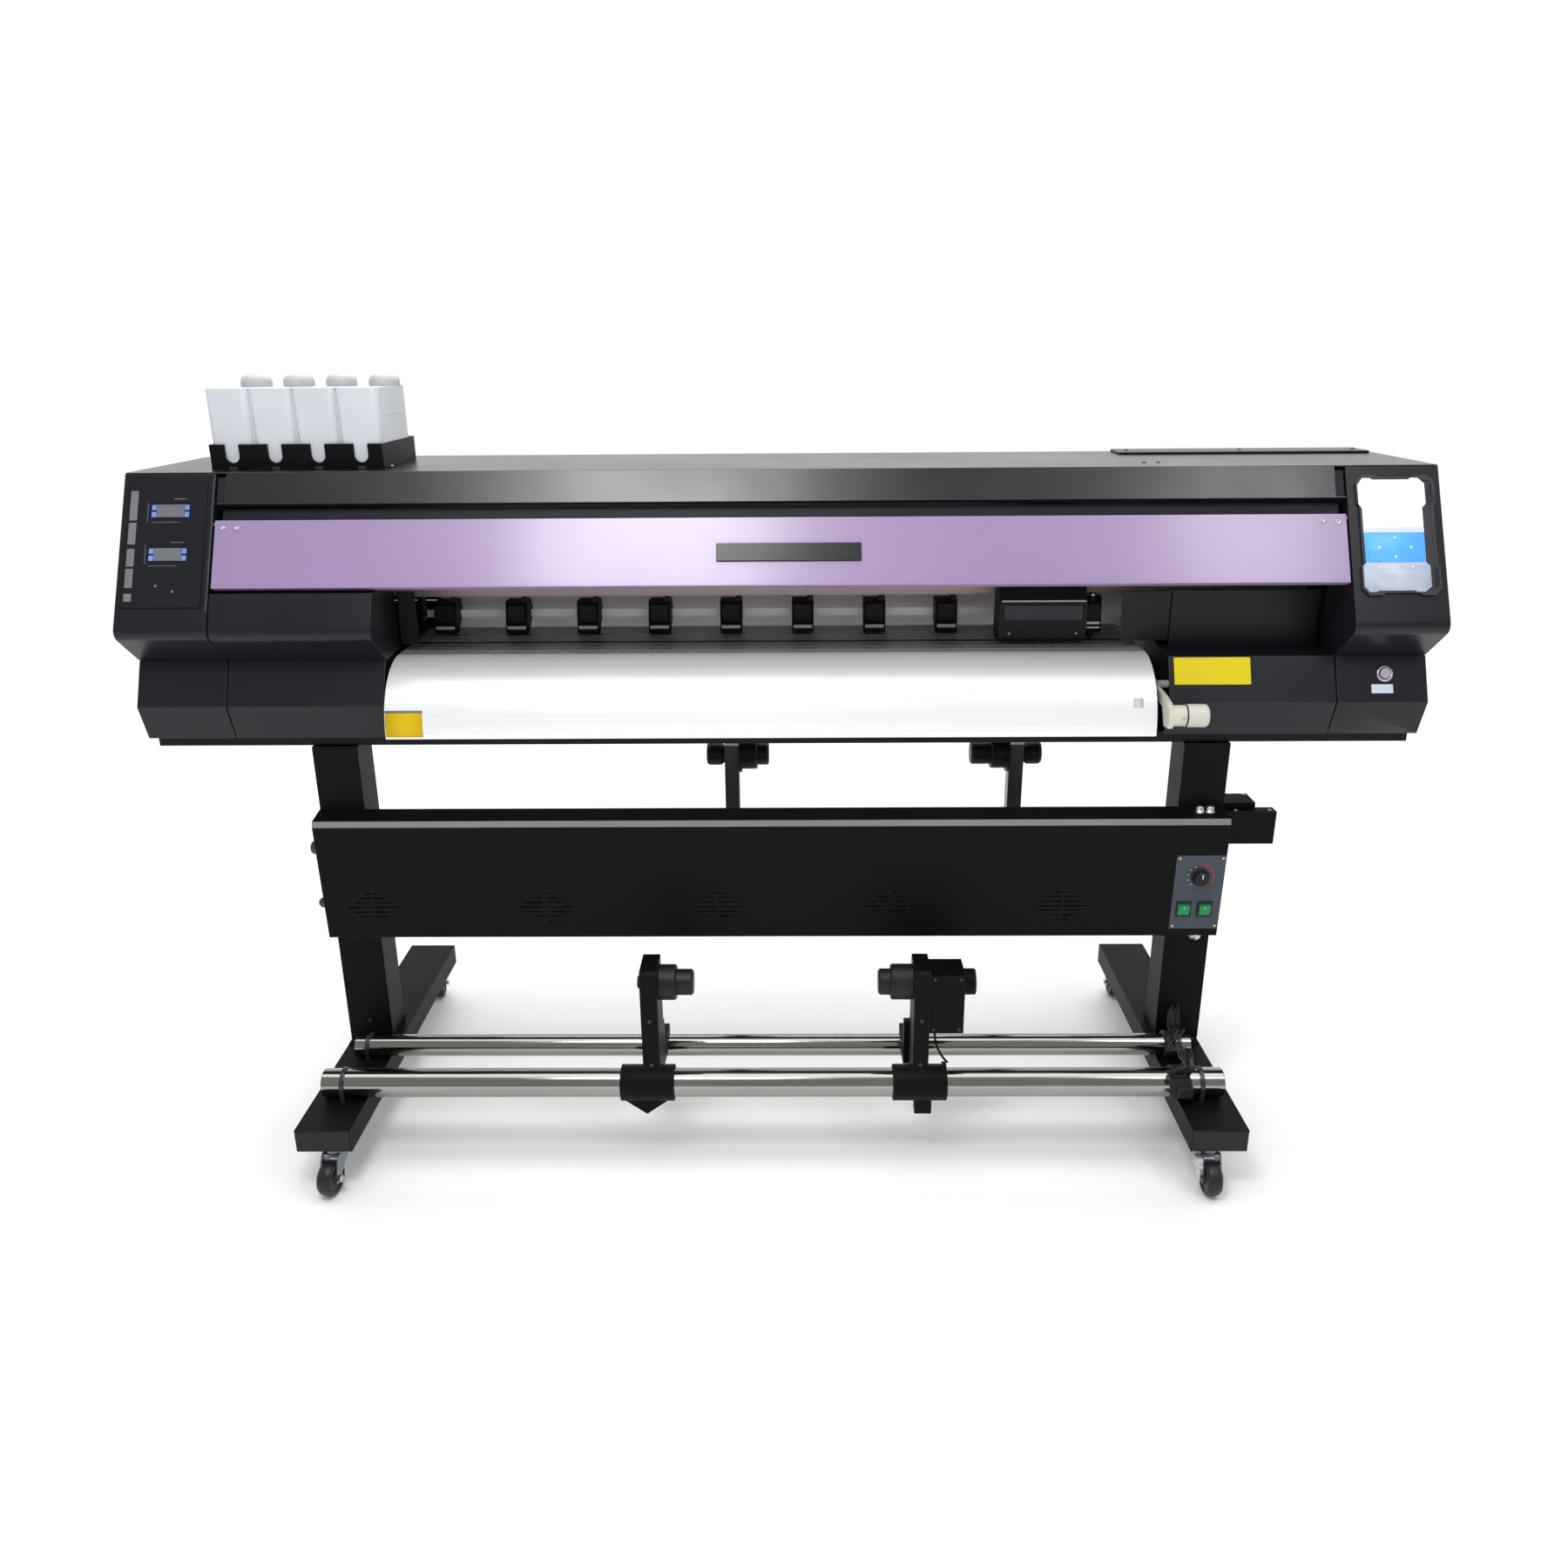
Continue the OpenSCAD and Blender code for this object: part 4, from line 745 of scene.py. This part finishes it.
def beam_details():
    """Screws of the beam and its rail, the belt with its idler, and the sheets behind and beside the beam."""
    shields = (
        ("rear_guide_sheet", (-0.833, 0.3925, 1.036), (0.833, 0.396, 1.36), BACK_SHEET, 0.6, "dark_inner"),
        ("beam_bracket_left", (-0.8475, 0.2435, 1.089), (-0.8365, 0.2815, 1.16), DARK, 0.8, "dark_inner"),
        ("beam_bracket_right", (0.8365, 0.2435, 1.089), (0.8475, 0.2815, 1.16), DARK, 0.8, "dark_inner"),
        ("parking_shield", (0.744, 0.0505, 1.079), (0.853, 0.053, 1.188), PLASTIC, 0.8, "black_moulding"),
        ("left_shield", (-0.833, 0.0505, 1.079), (-0.793, 0.053, 1.195), DARK, 0.8, "black_moulding"),
        ("shaft_cover_strip", (-0.83, 0.2535, 1.0965), (0.83, 0.256, 1.1145), BACK_SHEET, 0.4, "dark_inner"))
    for name, low, high, material, edge, slot in shields:
        blocks(name, [(low, high)], material, edge=edge * MM)
    lower = [facing(-1.14 + 0.0605 * i, 0.1998, 1.176, FRONT) for i in range(39)]
    screws("beam_screws", 0.004, 0.0022, lower, DARK, steps=16)
    upper = [facing(-1.17 + 0.12 * i, 0.1897, 1.225, FRONT) for i in range(20)]
    screws("rail_bolts", 0.0035, 0.0006, upper, DARK, steps=16)
    runs = [((-1.19, 0.1885, z), (1.242, 0.1905, z + 0.006)) for z in (1.252, 1.266)]
    blocks("drive_belt", runs, BELT, edge=0.0004)
    idler = Matrix.Translation((-1.186, 0.181, 1.262)) @ Matrix.Rotation(math.radians(-90), 4, "X")
    lathes("belt_idler", [(0, 0), (0.0125, 0), (0.0125, 0.0015), (0.0105, 0.0022), (0.0105, 0.01),
                          (0.0125, 0.0107), (0.0125, 0.0122), (0, 0.0122)], [idler], STEEL, steps=32)


def carriage_details():
    """Trim and screws of the carriage, the cutter's bars and knob, and the ink tubes."""
    left, right = 0.4835, 0.6745
    tilt = tilted(0.074, 1.16, -30)
    blocks("carriage_top_trim", [((left + 0.004, -0.0014, 0.001), (right - 0.002, 0.0016, 0.0045))],
           PALE_GREY, tilt, body="carriage", edge=0.0006)
    low = tilted(0.07, 1.118, -5.4)
    blocks("carriage_face_plate", [((left + 0.01, -0.0022, 0.004), (right - 0.01, 0.0012, 0.036))], BEZEL,
           low, body="carriage", edge=0.001)
    spots = [facing(x, 0.0698, 1.092, FRONT) for x in (left + 0.022, right - 0.022)]
    screws("carriage_screws", 0.003, 0.0022, spots, STEEL, body="carriage", steps=18)
    blocks("cutter_bars", [((0.679, 0.0975, 1.106), (0.71, 0.1008, 1.1115)),
                           ((0.679, 0.0975, 1.0965), (0.71, 0.1008, 1.1005))], PALE_GREY, body="cutter",
           edge=0.0008)
    knob = [facing(0.6953, 0.122, 1.1655, UP)]
    lathes("cutter_clamp_knob", [(0, 0), (0.009, 0), (0.0096, 0.0015), (0.0096, 0.006), (0.008, 0.0078),
                                 (0, 0.008)], knob, STEEL, body="cutter", steps=28)
    # Ink tubes from the carriage at rest to the left along the beam
    for k in range(3):
        points = [(0.5 + 0.012 * k, 0.172, 1.2498), (0.5 + 0.012 * k, 0.174, 1.3 + 0.006 * k),
                  (0.47 + 0.012 * k, 0.19, 1.318 + 0.006 * k), (0.38, 0.215, 1.312 + 0.007 * k),
                  (0.24, 0.222 + 0.008 * k, 1.296), (0.0, 0.222 + 0.01 * k, 1.295)]
        tube(f"ink_tube_{k + 1}", smooth_path(points), 0.0035, MILKY)


def lever_details():
    """Groove and pin on the pinch lever's barrel, and the cap of its pivot."""
    body = "pinch_lever_body"
    groove = facing(0.8375, LEVER_Y, LEVER_Z, RIGHT)
    lathes("lever_groove", [(0.0241, 0), (0.0246, 0.0004), (0.0246, 0.0026), (0.0241, 0.003), (0.0235, 0.003),
                            (0.0235, 0)], [groove], RUBBER, body=body)
    pin = facing(0.83, LEVER_Y - 0.0212, LEVER_Z, FRONT)
    lathes("lever_pin", [(0, 0), (0.0035, 0), (0.0035, 0.0018), (0.0022, 0.0028), (0, 0.0028)], [pin], STEEL,
           body=body, steps=20)
    pivot = facing(0.8005, -0.02, 1.0, (-1, 0, 0))
    lathes("lever_pivot_cap", [(0, 0), (0.012, 0), (0.012, 0.0012), (0.009, 0.003), (0, 0.0032)], [pivot],
           STEEL, body=body, steps=28)


platen_details()
curved_label("yellow_label_platen", *LABEL_X, -0.5, 20.0, ORANGE, "plate_grey")
curved_label("yellow_label_rim", *LABEL_X, 20.0, 22.0, GREY, "plate_grey")
curved_label("grey_mark_platen", 0.742, 0.762, 22.0, 30.0, PALE_GREY, "plate_grey")
pinch_block_details()
beam_details()
carriage_details()
lever_details()


# ---------------- dryer

def arc_band(bm, centre, radii, angles, steps=36):
    """A flat band on the dryer's face along an arc, from angle to angle in degrees."""
    inner, outer = radii
    front, back = 0.0004, -0.0006
    rows = []
    for i in range(steps + 1):
        a = math.radians(angles[0] + (angles[1] - angles[0]) * i / steps)
        rows.append([bm.verts.new(DRYER @ (centre + Vector((r * math.cos(a), y, r * math.sin(a)))))
                     for r, y in ((inner, front), (outer, front), (outer, back), (inner, back))])
    for a, b in zip(rows, rows[1:]):
        for k in range(4):
            bm.faces.new((a[k], a[(k + 1) % 4], b[(k + 1) % 4], b[k]))
    bm.faces.new(rows[0])
    bm.faces.new(rows[-1][::-1])


def knob_details():
    """Ribs and pointer of the knob, with its scale: ticks all round and a red arc over the high end."""
    centre = Vector((KNOB_X, -0.0021, KNOB_UP))
    first_tick, tick_step, last_low = 225, 27, 4
    angles = [math.radians(first_tick - tick_step * k) for k in range(11)]
    ticks = [DRYER @ Matrix.Translation(centre) @ Matrix.Rotation(-a, 4, "Y") for a in angles]
    low, high = ticks[:last_low + 1], ticks[last_low + 1:]
    bricks_at("knob_scale_low", (0.0245, -0.0006, -0.0006), (0.0285, 0.0003, 0.0006), low, WHITE, edge=0.0002)
    bricks_at("knob_scale_high", (0.0245, -0.0006, -0.0008), (0.029, 0.0003, 0.0008), high, RED, edge=0.0002)
    arc = mesh_of("knob_arc", lambda bm: arc_band(bm, centre, (0.0295, 0.0315), (110, -45)))
    add("knob_arc", arc, RED)
    body = "dryer_knob_body"
    pointer = [((-0.0011, -0.0199, 0.003), (0.0011, -0.0178, 0.0135))]
    blocks("knob_pointer", pointer, WHITE, KNOB, body=body, edge=0.0003)
    rib_count = 20
    ribs = [KNOB @ Matrix.Rotation(2 * math.pi * k / rib_count, 4, "Y") for k in range(rib_count)]
    bricks_at("knob_ribs", (0.0155, -0.0155, -0.0008), (0.0178, -0.004, 0.0008), ribs, PLASTIC_COARSE,
              body=body, edge=0.0004)


def rocker_details():
    """A frame round each rocker, and a pale mark on it."""
    frames = []
    outer_x, inner_x, outer_z, inner_z = 0.0165, 0.0132, 0.0185, 0.015
    for x in ROCKERS.values():
        for x0, z0, x1, z1 in ((-outer_x, -outer_z, outer_x, -inner_z), (-outer_x, inner_z, outer_x, outer_z),
                               (-outer_x, -outer_z, -inner_x, outer_z),
                               (inner_x, -outer_z, outer_x, outer_z)):
            frames.append(((x + x0, -0.0048, ROCKER_UP + z0), (x + x1, -0.0018, ROCKER_UP + z1)))
    blocks("rocker_frames", frames, PLASTIC_COARSE, DRYER, edge=0.0006)
    tip = math.radians(8)
    for side, x in ROCKERS.items():
        place = DRYER @ Matrix.Translation((x, -0.003, ROCKER_UP)) @ Matrix.Rotation(tip, 4, "X")
        blocks(f"rocker_marks_{side}", [((-0.0008, -0.0064, 0.003), (0.0008, -0.0058, 0.0085))], WHITE, place,
               body=f"dryer_{side}_rocker_body", edge=0.0002)


def dryer_details():
    """Heater tube, vent screens and lip of the dryer, and the fittings of its switch plate and box."""
    heater = [Vector((-0.985, -0.085, 0.575)), Vector((0.85, -0.085, 0.575))]
    tube("heater_tube", heater, 0.01, QUARTZ, sides=20)
    middles = [-0.142 + 0.3835 * i for i in range(-2, 3)]
    screens = [((x - 0.075, 0.006, -0.245), (x + 0.075, 0.0075, -0.145)) for x in middles]
    blocks("vent_screens", screens, DARK, DRYER, edge=0.0004)
    # Folded lip along the top front edge, pale grey to paint the highlight it catches
    lip = [((-1.0185, -0.0012, -0.0072), (0.9745, 0.001, 0.0066))]
    blocks("dryer_lip", lip, LIP_PAINTED_HIGHLIGHT, tilted(-0.1155, 0.7175, -21), edge=0.001)
    knob_details()
    rocker_details()
    spots = [on(DRYER, x, -0.0018, z - DRYER_TOP) for x in (0.873, 0.967) for z in (0.466, 0.632)]
    screws("switch_plate_screws", 0.0032, 0.0016, spots, STEEL, steps=18)
    glands = [facing(x, -0.086, 0.7275, UP) for x in (0.914, 0.936)]
    lathes("dryer_glands", [(0, 0), (0.0105, 0), (0.0105, 0.004), (0.0085, 0.0045), (0.0085, 0.013),
                            (0.0065, 0.016), (0, 0.0165)], glands, STEEL, steps=28)
    dome = [facing(0.93, -0.092, 0.4415, DOWN)]
    lathes("dryer_dome", [(0, 0), (0.0145, 0), (0.0142, 0.004), (0.0125, 0.01), (0.0085, 0.0145),
                          (0.004, 0.0164), (0, 0.0168)], dome, STEEL, steps=40)
    spots = [facing(x, y, z, UP) for x, y, z in ((0.984, 0.02, 0.7238), (1.05, 0.038, 0.7238),
                                                 (1.085, -0.036, 0.7138), (1.01, -0.036, 0.7138))]
    screws("junction_box_screws", 0.0045, 0.0026, spots, STEEL)


dryer_details()


# ---------------- stand

def foot_details():
    """End caps of the feet, and the flange with its bolts where each leg stands on its foot."""
    caps, bolts, plates = [], [], []
    near, far = 0.427, 0.4312
    for side in (-1, 1):
        x = STAND_X + side * FOOT_OUT
        leg = STAND_X + side * LEG_OUT
        for y0, y1 in ((-far, -near), (near, far)):
            caps.append(((x - 0.0565, y0, 0.1045), (x + 0.0565, y1, 0.1505)))
        for y in (-0.072, 0.045):
            plates.append(((leg - 0.048, y - 0.0145, 0.1525), (leg + 0.046, y + 0.0145, 0.1565)))
            for dx in (-0.03, 0.03):
                bolts.append(facing(leg + dx, y, 0.156, UP))
    blocks("foot_end_caps", caps, RUBBER, edge=0.003)
    blocks("leg_base_flanges", plates, PAINT, edge=0.0012)
    lathes("leg_base_bolts", [(0, 0), (0.007, 0), (0.007, 0.003), (0.0058, 0.0046), (0, 0.0048)], bolts,
           DARK_STEEL, steps=6)


def clamp_profile(inner, outer, half):
    """A clamp ring with small chamfers, to be turned about its rail."""
    lip, chamfer = 0.0012, 0.002
    return [(inner, -half), (outer, -half), (outer + lip, chamfer - half), (outer + lip, half - chamfer),
            (outer, half), (inner, half), (inner, -half)]


def rail_details():
    """Connector, clamps and leads at the right end of the take-up rails, and the rails' end plugs."""
    shell = [((0.828, -0.344, 0.196), (0.874, -0.312, 0.22)),
             ((0.836, -0.336, 0.214), (0.866, -0.306, 0.226)),
             ((0.846, -0.346, 0.172), (0.88, -0.323, 0.2))]
    blocks("rail_connector", shell, PLASTIC_COARSE, edge=0.004)
    lathes("rail_clamp", clamp_profile(0.0315, 0.035, 0.011), [facing(0.852, *FRONT_RAIL, RIGHT)],
           PLASTIC_COARSE)
    for k in range(6):
        bend = 0.007 * (k % 3)
        points = [(0.842 + 0.006 * k, -0.318, 0.215), (0.836 + 0.008 * k, -0.3335 - bend * 0.5, 0.232 + bend),
                  (0.862 + 0.005 * k, -0.309 + bend, 0.24 - bend), (0.872 + 0.004 * k, -0.25, 0.222 + bend),
                  (0.884 - 0.004 * k, -0.19, 0.214 - bend), (0.889 + 0.004 * k, -0.15, 0.2095 + bend),
                  (0.892 + 0.005 * k, -0.1, 0.205), (0.9 + 0.004 * k, -0.0615, 0.23 + bend)]
        tube(f"rail_lead_{k + 1}", smooth_path(points), 0.0026, RUBBER)
    lathes("rear_rail_clamp", clamp_profile(0.0255, 0.03, 0.013), [facing(0.884, *REAR_RAIL, RIGHT)],
           PLASTIC_COARSE, steps=44)
    plugs = [facing(x, *FRONT_RAIL, (d, 0, 0)) for x, d in ((-0.9915, -1), (0.9505, 1))]
    lathes("front_rail_plugs", [(0, 0), (0.0285, 0), (0.0292, 0.0008), (0.0292, 0.0022), (0.024, 0.0035),
                                (0, 0.0038)], plugs, RUBBER)
    plugs = [facing(x, *REAR_RAIL, (d, 0, 0)) for x, d in ((-0.9765, -1), (0.9295, 1))]
    lathes("rear_rail_plugs", [(0, 0), (0.0228, 0), (0.0236, 0.0008), (0.0236, 0.002), (0.019, 0.0032),
                               (0, 0.0035)], plugs, RUBBER)


def takeup_details():
    """Screws, collar rims and hub rings of the take-up arms, and the motor's screws and end cap."""
    for side, screw_x, collar_x in (("left", -0.2775, -0.288), ("right", 0.3, 0.3)):
        body = f"takeup_{side}_arm_body"
        spots = [facing(screw_x, -0.3098, z, FRONT) for z in (0.236, 0.342)]
        screws(f"takeup_{side}_arm_screws", 0.0045, 0.0022, spots, DARK_STEEL, body=body)
        rims = [facing(collar_x + d * 0.0545, *FRONT_RAIL, (d, 0, 0)) for d in (-1, 1)]
        lathes(f"takeup_{side}_collar_rims", [(0.0317, 0), (0.0317, 0.0035), (0.035, 0.004), (0.0385, 0.003),
                                              (0.0396, 0.001), (0.0396, 0), (0.0317, 0)], rims, PAINT,
               body=body, steps=56)
    body = "takeup_right_arm_body"
    spots = [facing(x, -0.3018, z, FRONT) for x in (0.326, 0.381) for z in (0.317, 0.436)]
    screws("takeup_motor_screws", 0.0036, 0.002, spots, DARK_STEEL, body=body, steps=18)
    lathes("takeup_motor_end", [(0, 0), (0.0275, 0), (0.028, 0.001), (0.027, 0.003), (0.014, 0.0042),
                                (0.012, 0.0018), (0, 0.0018)], [facing(0.4128, *HUB_AXIS, RIGHT)],
           PLASTIC_COARSE, body=body)
    for side, x, way in (("left", -0.259, 1), ("right", 0.283, -1)):
        rings = [facing(x + way * (0.01 + 0.009 * k), *HUB_AXIS, (way, 0, 0)) for k in range(3)]
        lathes(f"takeup_{side}_hub_rings", [(0.0375, 0), (0.0384, 0.0005), (0.0384, 0.002), (0.0375, 0.0025)],
               rings, RUBBER, body=f"takeup_{side}_hub_body", steps=56)


def caster_details():
    """The brake of the right front caster, and the axle nuts of all four."""
    brake = [((0.8705, -0.436, 0.06), (0.885, -0.398, 0.068)),
             ((0.8705, -0.446, 0.042), (0.876, -0.43, 0.066)),
             ((0.8705, -0.43, 0.066), (0.885, -0.406, 0.082))]
    blocks("caster_brake_lever", brake, PALE_GREY, body="caster_front_right", edge=0.002)
    swivel_y, trail, axle_z = 0.392, 0.038, 0.0375
    for end, back in (("front", -1), ("rear", 1)):
        for side, sign, turned_by in (("left", -1, math.radians(8)), ("right", 1, 0.0)):
            middle = Vector((STAND_X + sign * CASTER_OUT, back * swivel_y, axle_z))
            twist = Matrix.Translation(middle) @ Matrix.Rotation(back * turned_by, 4, "Z")
            nuts = [twist @ Matrix.Translation((d * 0.0225, back * trail, 0))
                    @ Matrix.Rotation(math.radians(90 * d), 4, "Y") for d in (-1, 1)]
            lathes(f"caster_nuts_{end}_{side}", [(0, 0), (0.0085, 0), (0.0085, 0.0032), (0.0075, 0.0042),
                                                 (0, 0.0042)], nuts, STEEL, body=f"caster_{end}_{side}",
                   steps=6)


foot_details()
rail_details()
takeup_details()
caster_details()


# ---------------- ink supply

def ink_details():
    """Ribs round the caps, the moulded bands of the tanks, and the rack's tabs and screws."""
    rib_count = 28
    for i in range(TANK_COUNT):
        cap = facing(TANK_X + 0.006 + (TANK_PITCH + 0.003) * i, 0.23, 1.6183, UP)
        ribs = [cap @ Matrix.Rotation(2 * math.pi * k / rib_count, 4, "Z") for k in range(rib_count)]
        bricks_at(f"ink_cap_ribs_{i + 1}", (0.0312, -0.001, 0.001), (0.0328, 0.001, 0.011), ribs, CAP,
                  body=f"ink_cap_{i + 1}_body", edge=0.0004)
    middles = [TANK_X + TANK_PITCH * i for i in range(TANK_COUNT)]
    bands = []
    for x in middles:
        bands.append(((x - 0.0448, 0.1, 1.56), (x + 0.0448, 0.254, 1.566)))
        if x != middles[-1]:
            bands.append(((x + 0.0435, 0.082, 1.47), (x + 0.0475, 0.262, 1.612)))
    blocks("tank_bands", bands, MILKY, edge=0.002)
    tabs = [((x - 0.008, 0.063, 1.4538), (x + 0.008, 0.0665, 1.46)) for x in middles]
    blocks("rack_front_tabs", tabs, BEZEL, edge=0.0008)
    spots = [facing(x, 0.101, 1.457, UP) for x in (-1.205, -0.828)]
    screws("rack_screws", 0.0035, 0.0022, spots, STEEL, steps=18)


ink_details()
